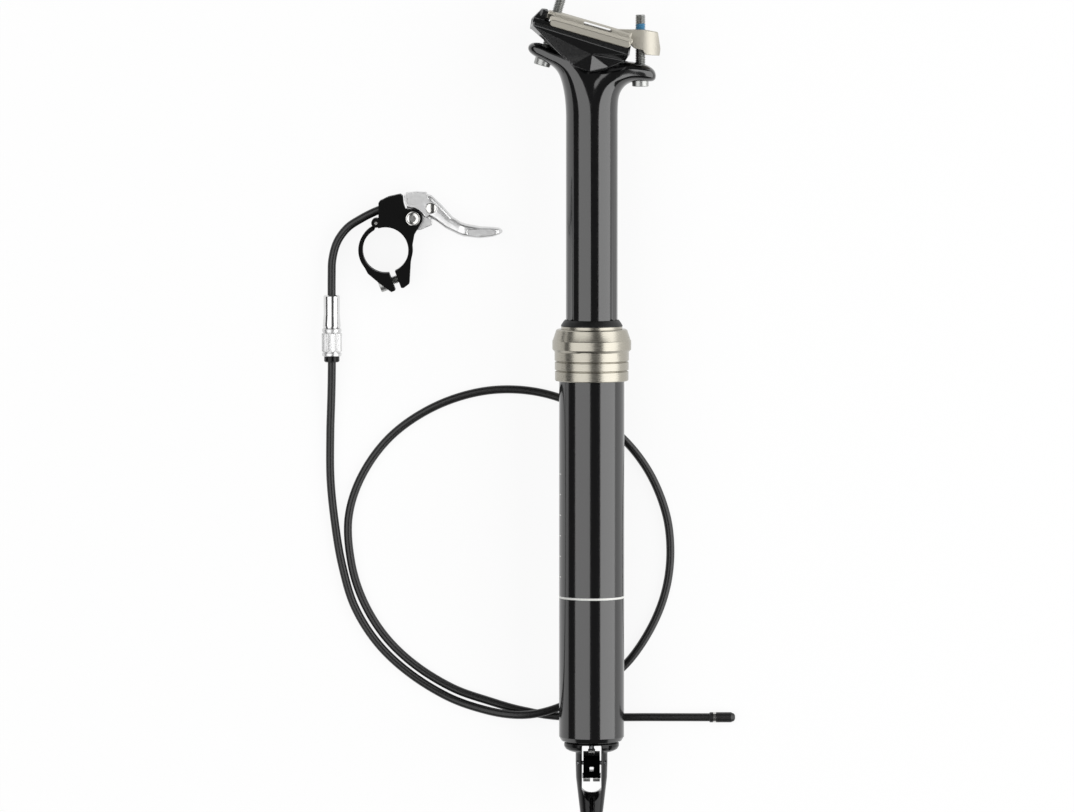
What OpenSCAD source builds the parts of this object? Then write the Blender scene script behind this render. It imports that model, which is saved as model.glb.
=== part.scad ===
// Dropper seatpost with a thumb remote on its cable, laid flat.
// +Y runs along the post to the saddle, +X to the rider's front, +Z up from the floor that it lies on.
// The origin is on the post's axis at the collar's lower face, where the frame's seat tube begins.

/* [Post] */
// Outer diameter of the lower tube
tube_d = 31.6; // [30.9:0.1:38]
// Length of the lower tube below the collar
tube_len = 175; // [170:1:260]
// Wall of the lower tube
tube_wall = 1.9; // [1.6:0.1:2.4]
// Outer diameter of the sliding stanchion
stanchion_d = 25; // [21:0.1:25.5]
// Wall of the stanchion
stanchion_wall = 2; // [1.4:0.1:2.4]
// Saddle height travel
travel = 100; // [60:1:110]
// Length of stanchion that stays inside the lower tube when fully up
insertion = 60; // [48:1:64]

/* [Collar] */
// Largest diameter of the collar on the standard lower tube
collar_d = 38.3; // [37:0.1:46]
// Height of the collar's metal part
collar_len = 25; // [22:0.5:30]
// Height of the rubber wiper's lip above the collar
wiper_len = 4.5; // [3:0.5:6]

/* [Head] */
// Backward tilt of the saddle rails from square to the post
rail_tilt = 16.2; // [12:0.1:19]
// Radius of the cradle that the lower clamp rocks in
cradle_r = 16; // [15:0.1:17]
// Width of the forged head
head_w = 25.2; // [22:0.1:26]
// Distance of the front clamp bolt from the post's axis
front_bolt_x = 23.4; // [23:0.1:24]

/* [Saddle clamp] */
// Diameter of the saddle rails
rail_d = 7; // [6:0.1:8.4]
// Distance between the rails' centres
rail_spacing = 44; // [42:0.5:48]
// Width of the whole clamp
clamp_w = 52; // [51:0.5:56]
// Length of the rail covers
cover_len = 41.4; // [34:0.1:44]
// Thickness of the covers' outer edge
cover_t = 3.3; // [2.8:0.1:3.6]
// Diameter of the clamp bolts
bolt_d = 5; // [4:0.1:5.5]
// Diameter of the clamp bolts' heads
bolt_head_d = 8; // [7:0.1:8.4]

/* [Foot] */
// Diameter of the foot's flange
flange_d = 26.7; // [24:0.1:27]
// Width of the foot's fork
fork_w = 15.5; // [14.8:0.1:17]
// Width of the fork's window
window_w = 9.4; // [9.2:0.1:10]
// Length of the fork below the flange
fork_len = 31; // [30:0.5:36]
// Diameter of the cable end's seat in the foot
stop_bore_d = 5.1; // [4.6:0.1:5.6]
// Diameter of the release pin
pin_d = 2.5; // [2:0.1:2.6]
// Diameter of the piston rod
rod_d = 8; // [7:0.1:9]

/* [Remote] */
// Diameter of the handlebar that the remote clamps on
bar_d = 22.2; // [19:0.1:27]
// Wall of the remote's band
band_t = 2.1; // [1.8:0.1:2.6]
// Width of the remote's band along the bar
band_w = 12; // [11:0.5:14]
// Thickness of the lever's hub
hub_t = 5; // [4:0.1:5.6]
// Diameter of the lever's pivot bolt
pivot_d = 4; // [3:0.1:4.6]
// Diameter of the remote's clamp bolt
band_bolt_d = 4; // [3:0.1:4.2]

/* [Cable] */
// Diameter of the cable housing
housing_d = 4; // [3.4:0.1:4.4]
// Diameter of the barrel adjuster's turning barrel
barrel_d = 9.8; // [9:0.1:10]
// Diameter of the ferrule at the cable's free end
ferrule_d = 5; // [4.6:0.1:5.4]

/* [Hidden] */
$fn = 64;
fit = 0.05;
seat = 0.02;

tube_r = tube_d / 2;
bore_r = tube_r - tube_wall;
post_r = stanchion_d / 2;
post_bore_r = post_r - stanchion_wall;
clamp_half = clamp_w / 2;
floor_z = -clamp_half;
collar_grow = tube_d - 31.6;
wiper_top = collar_len + wiper_len;
flare_y = wiper_top + travel + 3.9;
post_low = -insertion;

// Brings a shape drawn about Z onto the post's axis, with its height along +Y
module along_y() { rotate([-90, 0, 0]) children(); }

// Turns a profile of [radius, height] points about the post's axis
module turned(points) { along_y() rotate_extrude($fn = 96) polygon(points); }

// A plain ring between two heights on the post's axis
module ring(outer_r, inner_r, low, high) {
    turned([[inner_r, low], [outer_r, low], [outer_r, high], [inner_r, high]]);
}

// A solid pin along a direction in the XY plane, between two distances from a point
module pin_along(at, angle, z, r, from, to) {
    translate([at[0], at[1], z]) rotate([0, 0, angle]) rotate([0, 90, 0])
        translate([0, 0, from]) cylinder(r = r, h = to - from);
}

// A slot with round ends, centred, its long way along X
module slot_2d(length, r) {
    translate([-length / 2, 0]) circle(r);
    translate([length / 2, 0]) circle(r);
    square([length, 2 * r], center = true);
}

// Rings of a rounded section between two edge points in the XY plane, half_w thick each way in Z
function unit_pow(v, e) = sign(v) * pow(abs(v), 2 / e);
function section_ring(s, sides, e) =
    let (mid = (s[0] + s[1]) / 2, half = (s[1] - s[0]) / 2)
    [for (k = [0:sides - 1]) let (a = 360 * k / sides)
        [mid[0] + half[0] * unit_pow(cos(a), e), mid[1] + half[1] * unit_pow(cos(a), e),
         s[2] * unit_pow(sin(a), e)]];

// Skin over a row of rings that all have the same number of points
function skin_faces(rows, sides) = concat(
    [[for (k = [0:sides - 1]) k]],
    [for (i = [0:rows - 2], k = [0:sides - 1]) let (n = (k + 1) % sides)
        [i * sides + k, (i + 1) * sides + k, i * sides + n]],
    [for (i = [0:rows - 2], k = [0:sides - 1]) let (n = (k + 1) % sides)
        [i * sides + n, (i + 1) * sides + k, (i + 1) * sides + n]],
    [[for (k = [sides - 1:-1:0]) (rows - 1) * sides + k]]);
module skin(rings) {
    polyhedron([for (r = rings) for (p = r) p], skin_faces(len(rings), len(rings[0])), convexity = 4);
}
module loft(sections, sides = 24, e = 2.6) { skin([for (s = sections) section_ring(s, sides, e)]); }

// A smooth line through the route's points, with steps of about step length
function spline(p0, p1, p2, p3, t) = 0.5 * (2 * p1 + (p2 - p0) * t + (2 * p0 - 5 * p1 + 4 * p2 - p3) * t * t
    + (3 * p1 - p0 - 3 * p2 + p3) * t * t * t);
function route_line(pts, step) = let (last = len(pts) - 1) concat(
    [for (i = [0:last - 1])
        let (n = max(1, round(norm(pts[i + 1] - pts[i]) / step)))
        for (k = [0:n - 1]) spline(pts[max(i - 1, 0)], pts[i], pts[i + 1], pts[min(i + 2, last)], k / n)],
    [pts[last]]);
function unit(v) = v / norm(v);
function tube_ring(line, i, r, sides) =
    let (last = len(line) - 1,
         along = unit(line[min(i + 1, last)] - line[max(i - 1, 0)]),
         side = unit(cross(along, [0, 0, 1])),
         up = cross(side, along))
    [for (k = [0:sides - 1]) line[i] + r * (cos(360 * k / sides) * side - sin(360 * k / sides) * up)];
module swept_tube(line, r, sides) { skin([for (i = [0:len(line) - 1]) tube_ring(line, i, r, sides)]); }

// Lower tube, with its keyways
thread_len = 16;
neck_r = tube_r - 0.6;
key_w = 3;
key_len = 20;
key_low = post_low + 16;
key_r = bore_r + 0.75;
key_floor_r = post_r - 0.9;
module keyways(r_in, r_out, low, high, w) {
    for (a = [90, 210, 330]) along_y() rotate([0, 0, a])
        translate([r_in, -w / 2, low]) cube([r_out - r_in, w, high - low]);
}
module outer_tube() {
    color("#17181a") difference() {
        turned([[bore_r, -tube_len], [tube_r - 1.2, -tube_len], [tube_r, -tube_len + 2], [tube_r, 0], [neck_r, 0],
            [neck_r, thread_len], [bore_r, thread_len]]);
        keyways(bore_r - 2, key_r, -tube_len - 1, key_low + key_len + 0.3, key_w + 0.1);
    }
}

// Collar, screwed on the lower tube's neck
grip_low = 14.8;
grip_high = 19.9;
collar_r = (collar_d + collar_grow) / 2;
lip_r = collar_r - 2.15;
seal_r = bore_r + 0.5;
module collar() {
    base_r = 17.8 + collar_grow / 2;
    color("#8f8a82") turned([
        [neck_r + seat, 0.02], [base_r - 0.4, 0.02], [base_r, 0.4], [base_r, 4.6], [base_r - 0.7, 4.8],
        [base_r - 0.7, 5.1], [base_r + 0.1, 5.4], [base_r + 0.1, 9.1], [base_r - 0.6, 9.3],
        [base_r - 0.6, 9.6], [base_r + 0.2, 9.9], [base_r + 0.2, 14.1], [collar_r - 0.4, grip_low],
        [collar_r, grip_low + 0.5], [collar_r, grip_high - 0.5], [collar_r - 0.3, grip_high],
        [lip_r + 0.2, collar_len - 0.4], [lip_r - 0.4, collar_len], [seal_r, collar_len],
        [seal_r, thread_len + 0.3], [neck_r + seat, thread_len + 0.3]]);
}

// Silver ring that keeps the wiper in, and the wiper itself
ring_low = collar_len + 0.05;
ring_high = collar_len + 1.4;
ring_r = post_r + 2.35;
wiper_neck_r = post_r + 1.1;
module wiper_ring() { color("#c9c8c4") ring(ring_r, wiper_neck_r + seat, ring_low, ring_high); }
module wiper_seal() {
    color("#141414") turned([
        [post_r + 0.1, thread_len + 0.5], [seal_r - seat, thread_len + 0.5], [seal_r - seat, collar_len - 0.05],
        [wiper_neck_r, collar_len - 0.05], [wiper_neck_r, ring_high + 0.05], [ring_r + 0.05, ring_high + 0.05],
        [ring_r + 0.05, ring_high + 0.5], [post_r + 1.4, wiper_top - 1], [post_r + 0.6, wiper_top],
        [post_r + 0.1, wiper_top]]);
}
module upper_bushing() {
    color("#3a3a3c") ring(bore_r - seat, post_r + fit, key_low + key_len + 4, thread_len - 0.3);
}

// Foot plug: a plug in the tube, a flange below it and a fork for the release rocker
plug_top = -tube_len + 10.5;
flange_top = -tube_len - 1;
flange_low = flange_top - 4;
fork_low = flange_low - fork_len;
window_top = flange_top - 0.4;
window_low = flange_low - 20.4;
rod_seat_y = -tube_len + 3;
fork_depth = 13;
stop_top = fork_low + 6.5;
module foot_plug() {
    groove_y = plug_top - 5;
    flange_r = flange_d / 2;
    color("#1a1b1d") difference() {
        union() {
            turned([[0, flange_low], [flange_r - 2.6, flange_low], [flange_r - 0.8, flange_low + 1],
                [flange_r, flange_low + 2.4], [flange_r, flange_top], [flange_r - 0.9, flange_top],
                [flange_r - 0.9, -tube_len + 0.2], [bore_r - seat, -tube_len + 0.2], [bore_r - seat, groove_y - 1],
                [bore_r - 1.4, groove_y - 1], [bore_r - 1.4, groove_y + 1], [bore_r - seat, groove_y + 1],
                [bore_r - seat, plug_top - 0.6], [bore_r - 0.6, plug_top], [0, plug_top]]);
            intersection() {
                turned([[0, fork_low], [fork_w / 2 - 2.3, fork_low], [fork_w / 2 - 1.3, fork_low + 8.5],
                    [fork_w / 2 - 0.2, fork_low + 18], [fork_w / 2, flange_low - 6], [fork_w / 2, flange_low - 1],
                    [fork_w / 2 + 1, flange_low + 0.5], [0, flange_low + 0.5]]);
                translate([-fork_w, fork_low - 1, -fork_depth / 2]) cube([2 * fork_w, fork_len + 3, fork_depth]);
            }
        }
        fork_window();
        along_y() translate([0, 0, rod_seat_y]) cylinder(r = rod_d / 2 + seat, h = 20);
        along_y() translate([0, 0, window_top - 1]) cylinder(r = pin_d / 2 + fit, h = 20);
        along_y() translate([0, 0, fork_low - 1]) cylinder(d = stop_bore_d, h = stop_top - fork_low + 1);
        along_y() translate([0, 0, fork_low]) cylinder(r = 0.9, h = 20);
        translate([-0.8, fork_low - 1, 0]) cube([1.6, stop_top - fork_low + 3, fork_depth]);
        rocker_pin_hole(rocker_pin_r + seat, fork_w);
    }
}
// The window is a slot through the flange and the fork, with a shallow round bottom
module fork_window() {
    bottom_r = window_w * 0.78;
    translate([0, 0, -flange_d]) linear_extrude(2 * flange_d) {
        translate([-window_w / 2, window_low + 2]) square([window_w, window_top - window_low - 2]);
        intersection() {
            translate([0, window_low + bottom_r]) circle(bottom_r, $fn = 96);
            translate([-window_w / 2, window_low]) square([window_w, 3]);
        }
    }
}
module plug_o_ring() {
    color("#101010") ring(bore_r - 0.05, bore_r - 1.35, plug_top - 5.9, plug_top - 4.1);
}
module bottom_bumper() {
    color("#2a2a2a") ring(post_r - 0.5, rod_d / 2 + 0.3, plug_top + 0.02, plug_top + 3);
}

// Release rocker: the cable pulls its low end, and its nose lifts the release pin
rocker_w = 8;
rocker_pin_r = 1;
rocker_y = flange_low - 5.6;
rocker_z = 3.5;
anchor_y = rocker_y - 6.4;
anchor_z = 1.6;
nose_y = rocker_y + 5;
nose_r = 1.5;
pin_gap = 0.1;
pin_low = nose_y + nose_r + pin_gap;
module rocker_pin_hole(r, length) {
    translate([-length / 2 - 1, rocker_y, rocker_z]) rotate([0, 90, 0]) cylinder(r = r, h = length + 2);
}
module side_plate(w) { rotate([90, 0, 90]) translate([0, 0, -w / 2]) linear_extrude(w) children(); }
module rocker() {
    color("#242528") difference() {
        union() {
            side_plate(rocker_w) polygon([
                [rocker_y + 3.4, rocker_z + 1.2], [rocker_y + 1.6, rocker_z + 2.8], [rocker_y - 2, rocker_z + 2.8],
                [anchor_y - 1.6, anchor_z + 2.4], [anchor_y - 3, anchor_z + 0.4], [anchor_y - 2.4, anchor_z - 2],
                [rocker_y - 4, -2.4], [rocker_y + 2.4, -2.6], [rocker_y + 5.2, -1.4]]);
            translate([0, nose_y, 0]) rotate([0, 90, 0]) cylinder(r = nose_r, h = 3.4, center = true);
        }
        rocker_pin_hole(rocker_pin_r + fit, rocker_w);
        translate([-rocker_w, anchor_y, anchor_z]) rotate([0, 90, 0]) cylinder(r = 1.3 + seat, h = 2 * rocker_w);
        translate([-1, rocker_y - 4, -6]) cube([2, 2.2, 14]);
        translate([-0.7, anchor_y - 6, -6]) cube([1.4, 5, 14]);
    }
}
module rocker_pin() {
    color("#6d6e70") translate([-fork_w / 2 + 0.6, rocker_y, rocker_z]) rotate([0, 90, 0])
        cylinder(r = rocker_pin_r, h = fork_w - 1.2);
}
module cable_anchor() {
    color("#55565a") difference() {
        translate([-window_w / 2 + 0.25, anchor_y, anchor_z]) rotate([0, 90, 0])
            cylinder(r = 1.3, h = window_w - 0.5);
        translate([0, anchor_y - 3, anchor_z]) rotate([-90, 0, 0]) cylinder(r = 0.6, h = 6);
    }
}

// Gas cartridge: the rod stands on the foot plug, the tube rides up and down with the stanchion
piston_low = post_low + 16;
piston_len = 10;
rod_top = piston_low + piston_len - 1;
cart_r = post_bore_r - 0.7;
cart_bore_r = cart_r - 1.2;
cart_low = post_low + 2;
gland_len = 12;
cart_top = piston_low + piston_len + travel + 8;
module release_pin() { color("#9a9ca0") ring(pin_d / 2, 0, pin_low, piston_low); }
module piston_rod() {
    color("#b9bbbf") ring(rod_d / 2, pin_d / 2 + fit, rod_seat_y + 0.1, rod_top);
}
module piston() {
    piston_r = cart_bore_r - fit;
    mid = piston_low + piston_len / 2;
    color("#8d8f93") turned([[rod_d / 2 + seat, piston_low], [piston_r, piston_low], [piston_r, mid - 1],
        [piston_r - 1.3, mid - 1], [piston_r - 1.3, mid + 1], [piston_r, mid + 1],
        [piston_r, piston_low + piston_len], [0, piston_low + piston_len], [0, rod_top + 0.05],
        [rod_d / 2 + seat, rod_top + 0.05]]);
}
module piston_o_ring() {
    mid = piston_low + piston_len / 2;
    color("#101010") ring(cart_bore_r - fit, cart_bore_r - fit - 1.28, mid - 0.95, mid + 0.95);
}
module cartridge_tube() {
    color("#a5a7aa") turned([[cart_bore_r, cart_low], [cart_r, cart_low], [cart_r, cart_top],
        [cart_bore_r, cart_top]]);
}
module cartridge_gland() {
    lip_r = post_bore_r - seat;
    color("#6f7175") turned([[rod_d / 2 + fit, post_low], [lip_r, post_low], [lip_r, cart_low - 0.05],
        [cart_bore_r - seat, cart_low - 0.05], [cart_bore_r - seat, cart_low + gland_len],
        [rod_d / 2 + 1.4, cart_low + gland_len], [rod_d / 2 + 1.4, cart_low + gland_len - 3],
        [rod_d / 2 + fit, cart_low + gland_len - 3]]);
}
module gland_seal() {
    color("#101010") ring(rod_d / 2 + 1.38, rod_d / 2 + fit, cart_low + gland_len - 2.95, cart_low + gland_len - 0.4);
}
module cartridge_cap() {
    color("#6f7175") turned([[0, cart_top - 6], [cart_bore_r - seat, cart_top - 6],
        [cart_bore_r - seat, cart_top + 0.05], [post_bore_r - seat, cart_top + 0.05],
        [post_bore_r - seat, cart_top + 3], [0, cart_top + 3]]);
}

// Stanchion and forged head in one piece. Edge points of the arms are [x, height above the flare]
seat_x = 1;
seat_y = flare_y + 32.3;
rim_r = cradle_r + 3.2;
head_half = head_w / 2;
head_scale = head_half / 12.6;
tilt_play = 1.8;
bolt_slot_r = bolt_d / 2 + 0.3;
recess_r = bolt_head_d / 2 + 0.3;
function up(x, h) = [x, flare_y + h];
// winding is 1 or -1, so that each arm's skin faces outwards
function arm(list, winding) = [for (s = list) [up(s[0], s[1]), up(s[2], s[3]), winding * s[4] * head_scale]];
rear_arm = arm([
    [-10.6, -5, 10.6, -4, 10.6], [-13, 4.5, 8, 10, 12.4], [-14.2, 10, 5, 16, 12.6], [-16, 15, -1, 21, 12.6],
    [-18.5, 18.2, -10, 25.8, 11.8], [-21.4, 20, -18, 27.2, 10.4], [-25, 22, -23.6, 29.4, 9.2],
    [-28, 23.7, -27.6, 30.2, 8.2], [-30, 25.3, -29.9, 29.4, 6.6], [-30.8, 26.6, -30.8, 28.2, 4.4]], -1);
front_arm = arm([
    [10.6, -5, -10.6, -4, 10.6], [12.9, 3.5, -8, 10, 12.4], [14.3, 7.2, -4, 16, 12.6], [16.8, 9.9, 4, 19, 12.4],
    [20, 11.3, 14, 21.2, 11], [24, 11.5, 22, 20, 9.6], [27.4, 11.3, 26.8, 19, 8.6],
    [29.6, 11.5, 29.4, 17.4, 7.4], [30.8, 12.5, 30.7, 15.6, 5]], 1);
rear_angle = 90 - rail_tilt;
rear_top = [-16.6, flare_y + 45.5];
rear_dir = [cos(rear_angle), sin(rear_angle)];
function rear_at(t) = rear_top - t * rear_dir;
front_ceiling = flare_y + 15.2;
rear_ceiling_t = 21.3;

// Cuts for a clamp bolt: a slot that lets it lean, and a recess for its head
module bolt_cut(at, angle, slot_len) {
    translate([at[0], at[1], 0]) rotate([0, 0, angle - 90]) rotate([-90, 0, 0]) {
        translate([0, 0, -0.5]) linear_extrude(16) slot_2d(slot_len, bolt_slot_r);
        translate([0, 0, -16]) linear_extrude(16) slot_2d(slot_len, recess_r);
    }
}
module stanchion_head() {
    color("#131315") difference() {
        union() {
            ring(post_r - 0.4, 0, post_low, post_low + 15);
            ring(post_r, 0, post_low + 14, flare_y + 17);
            loft(rear_arm);
            loft(front_arm);
            translate([seat_x, seat_y, 0]) intersection() {
                cylinder(r = rim_r, h = head_w + 0.4, center = true, $fn = 96);
                translate([-12.4, -30, -head_w]) cube([23.6, 24, 2 * head_w]);
            }
        }
        translate([seat_x, seat_y, 0]) cylinder(r = cradle_r + 0.08, h = 3 * head_w, center = true, $fn = 96);
        bolt_cut([front_bolt_x, front_ceiling], 90, 2 * tilt_play);
        bolt_cut(rear_at(rear_ceiling_t), rear_angle, 2 * tilt_play);
        along_y() translate([0, 0, post_low - 1]) cylinder(r = post_bore_r, h = cart_top + 8 - post_low);
        keyways(key_floor_r, post_r + 1, key_low, key_low + key_len, key_w + 0.04);
    }
}
module lower_bushing() {
    color("#3a3a3c") ring(bore_r - fit, post_r - 0.4 + seat, post_low + 0.3, post_low + 13.8);
}
module guide_keys() {
    color("#b08d3c") keyways(key_floor_r + seat, key_r - 0.15, key_low + seat, key_low + key_len - seat, key_w);
}

// Saddle clamp, drawn in its own frame: X along the rails, Y square to them, Z across
clamp_x = -1.06;
clamp_y = flare_y + 34.8;
rail_r = rail_d / 2;
rail_z = rail_spacing / 2;
part_gap = 0.25;
rear_bolt_u = -17.9;
wing_z = head_half + 0.8;
module in_clamp() { translate([clamp_x, clamp_y, 0]) rotate([0, 0, -rail_tilt]) children(); }
module slab(z0, z1) { translate([0, 0, z0]) linear_extrude(z1 - z0) children(); }
module rails(r) {
    for (side = [-1, 1]) translate([-60, 0, side * rail_z]) rotate([0, 90, 0]) cylinder(r = r, h = 120);
}
wing_outline = [[-28.4, -part_gap], [-28.2, -5.6], [-18.2, -10.2], [-9.2, -14.4], [-3.8, -17], [1.1, -18],
    [4.7, -17.8], [10, -16.3], [14, -12.9], [20.1, -7.8], [21.2, -4.7], [20.6, -part_gap]];
rim_outline = [[-27.6, -part_gap], [-27.6, -3.6], [20.4, -4.6], [20.2, -part_gap]];
module wing() {
    hull() {
        slab(wing_z, wing_z + 1.4) polygon(wing_outline);
        slab(clamp_half - 1.4, clamp_half - 0.4) polygon(rim_outline);
    }
}
module lower_clamp() {
    seat_h = 2 * wing_z + 0.4;
    color("#161618") difference() {
        union() {
            in_clamp() {
                wing();
                mirror([0, 0, 1]) wing();
                slab(-seat_h / 2, seat_h / 2) polygon([[-28.4, -part_gap], [-28.2, -5.4], [-11.5, -5.8],
                    [17, -5], [20.6, -3.5], [20.6, -part_gap]]);
                hull() {
                    slab(-14, 14) polygon([[-28.3, -6], [-28.9, -1.3], [-22.5, -1.3], [-22.5, -5]]);
                    slab(-9, 9) polygon([[-28.6, -1], [-25.4, 5], [-22.5, 5.4], [-22.5, -1]]);
                }
            }
            intersection() {
                translate([seat_x, seat_y, 0]) cylinder(r = cradle_r, h = seat_h, center = true, $fn = 96);
                in_clamp() slab(-40, 40) polygon([[-40, -40], [40, -40], [40, -part_gap], [-40, -part_gap]]);
            }
        }
        in_clamp() rails(rail_r);
        in_clamp() translate([rear_bolt_u, -30, 0]) rotate([-90, 0, 0]) cylinder(r = bolt_d / 2 + 0.4, h = 60);
    }
}
cover_half_z = clamp_half;
arch_r = rail_r + 1.9;
plate_low = 1.4;
plate_high = 5;
ear_w = 19.4;
module cover_bar() {
    slab(rail_z - 1, cover_half_z) translate([0, part_gap + cover_t / 2])
        slot_2d(cover_len - cover_t, cover_t / 2);
    intersection() {
        translate([-cover_len / 2 + 2, 0, rail_z]) rotate([0, 90, 0]) cylinder(r = arch_r, h = cover_len - 4);
        slab(0, rail_z + 3.2) translate([-40, part_gap]) square([80, 20]);
    }
}
module upper_clamp() {
    color("#b8b5ae") difference() {
        union() {
            in_clamp() {
                cover_bar();
                mirror([0, 0, 1]) cover_bar();
                slab(-rail_z, rail_z) polygon([[-22.1, plate_low], [-22.1, 4.6], [-21.3, plate_high],
                    [19, plate_high + 0.3], [19, plate_low]]);
            }
            intersection() {
                slab(-ear_w, ear_w) polygon([up(12.5, 35.2), up(12.5, 36.6), up(18, 36.4), up(24, 36.5),
                    up(31.8, 35.2), up(33.1, 27.1), up(32.6, 23.8), up(25.6, 24.4), up(24.4, 26.6),
                    up(20.2, 27.6), up(16.2, 31.2)]);
                rotate([-90, 0, 0]) linear_extrude(400) union() {
                    translate([front_bolt_x, 0]) circle(ear_w / 2);
                    translate([0, -ear_w / 2]) square([front_bolt_x, ear_w]);
                }
            }
        }
        in_clamp() {
            rails(rail_r);
            translate([rear_bolt_u, -30, 0]) rotate([-90, 0, 0]) cylinder(r = bolt_d / 2 + fit, h = 60);
            translate([0, 0, 0]) rotate([-90, 0, 0]) linear_extrude(20) slot_2d(12, 6);
        }
        translate([front_bolt_x, flare_y, 0]) rotate([-90, 0, 0]) cylinder(r = bolt_d / 2 + fit, h = 60);
    }
}

// Clamp bolts with domed washers. Each is drawn upright with its head's top face at zero
washer_t = 1.4;
dome_r = 9;
dome_gap = 0.2;
module bolt_shape(shank, head_h, socket) {
    difference() {
        union() {
            translate([0, 0, -head_h]) cylinder(d = bolt_head_d, h = head_h);
            cylinder(d = bolt_d, h = shank - 0.6);
            translate([0, 0, shank - 0.6]) cylinder(d1 = bolt_d, d2 = bolt_d - 1.2, h = 0.6, $fn = 48);
        }
        translate([0, 0, -head_h - 1]) cylinder(d = socket / cos(30), h = 1 + head_h * 0.55, $fn = 6);
    }
}
module washer_shape() {
    difference() {
        intersection() {
            cylinder(d = bolt_head_d, h = washer_t);
            translate([0, 0, washer_t - dome_r]) sphere(r = dome_r, $fn = 96);
        }
        translate([0, 0, -1]) cylinder(d = bolt_d + 0.2, h = 4);
    }
}
module at_front() {
    translate([front_bolt_x, front_ceiling - dome_gap - washer_t, 0]) rotate([-90, 0, 0]) children();
}
module at_rear() {
    p = rear_at(rear_ceiling_t + dome_gap + washer_t);
    translate([p[0], p[1], 0]) rotate([0, 0, -rail_tilt]) rotate([-90, 0, 0]) children();
}
module front_bolt() { color("#a9aaac") at_front() bolt_shape(30, 4.7, 4); }
module rear_bolt() { color("#a9aaac") at_rear() bolt_shape(30.4, 4.7, 4); }
module front_washer() { color("#8c8d90") at_front() translate([0, 0, 0.02]) washer_shape(); }
module rear_washer() { color("#8c8d90") at_rear() translate([0, 0, 0.02]) washer_shape(); }

// Remote, drawn about the handlebar's centre, with Z from the band's middle
remote_x = -100.1;
remote_y = 62.5;
bar_r = bar_d / 2;
band_r = bar_r + band_t;
grow = band_r - 13.2;
remote_z = floor_z + band_w / 2;
band_half = band_w / 2;
hub_half = hub_t / 2;
pivot = [13.3, 15.4] + grow * [0.65, 0.76];
hinge = [-4.6, 13.2] + grow * [-0.33, 0.94];
ear_r = 4.6;
bolt_angle = 20.5;
gap_mid = [4.6, -14.6] + grow * [0.3, -0.95];
bolt_way = [cos(bolt_angle), sin(bolt_angle)];
gap_w = 3;
exit_dir = [cos(21.7), sin(21.7)];
exit_at = [-5.7, 18.3] + grow * [-0.2, 0.98];
module in_remote() { translate([remote_x, remote_y, remote_z]) children(); }
function shift(list, d) = [for (p = list) p + d];
module layer(z0, z1) { translate([0, 0, z0]) linear_extrude(z1 - z0) children(); }
module split_line() {
    translate(gap_mid) rotate([0, 0, bolt_angle]) translate([-gap_w / 2, -14]) square([gap_w, 22]);
}
// Half planes that part the band at its hinge and at its gap
module strap_side() {
    polygon([hinge + [1.2, -0.2], hinge + [0.9, -6], [0.6, 0], gap_mid + [-2.1, 6], gap_mid,
        gap_mid + [8, -22], [-60, -60], [-60, 40], hinge + [1.2, 20]]);
}
module body_outline() {
    circle(band_r, $fn = 96);
    translate(pivot) circle(ear_r);
    polygon(shift([[-4.9, 20.8], [-2.7, 23.9], [1.4, 25.9], [7.2, 27.2], [8.4, 26.3], [8.7, 22.9], [9.6, 19.9],
        [13.3, 19.9], [17.3, 13.2], [14, 7.4], [13, 2], [0, 0], [-7, 10], [-6.3, 15]], grow * [0.3, 0.95]));
    polygon([[band_r - 3, 0], [band_r - 0.3, -2], [band_r - 1, -6.1], [11.6, -16.3 - grow], [8.8, -18.4 - grow],
        [4, -18 - grow], [3, -10]]);
}
module clamp_body() {
    color("#121213") in_remote() difference() {
        layer(-band_half, band_half) difference() {
            body_outline();
            circle(bar_r, $fn = 96);
            strap_side();
            split_line();
        }
        // room for the strap's knuckle
        layer(-3.1, 3.1) translate(hinge) circle(2.6);
        translate([hinge[0], hinge[1], -10]) cylinder(r = 0.75 + seat, h = 20);
        // slot for the lever's hub
        layer(-hub_half - 0.1, hub_half + 0.1) {
            translate(pivot) circle(7);
            translate(pivot + [-4, 0]) square([12, 14]);
            translate(pivot + [3, -7]) square([12, 12]);
        }
        translate([pivot[0], pivot[1], -10]) cylinder(r = pivot_d / 2 + seat, h = 20);
        // seat of the housing and the wire's way out
        pin_along(exit_at, 21.7, 0, housing_d / 2 + 0.05, -3, 6.2);
        pin_along(exit_at, 21.7, 0, 0.9, 0, 20);
        pin_along(gap_mid, bolt_angle, 0, band_bolt_d / 2 + fit, 0, 20);
    }
    color("#121213") in_remote() for (s = [-1, 1]) difference() {
        translate([hinge[0], hinge[1], s * (3.1 + band_half) / 2])
            cylinder(r = 2.3, h = band_half - 3.1, center = true);
        translate([hinge[0], hinge[1], -10]) cylinder(r = 0.75 + seat, h = 20);
        translate([0, 0, -10]) cylinder(r = bar_r, h = 20, $fn = 96);
    }
}
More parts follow.
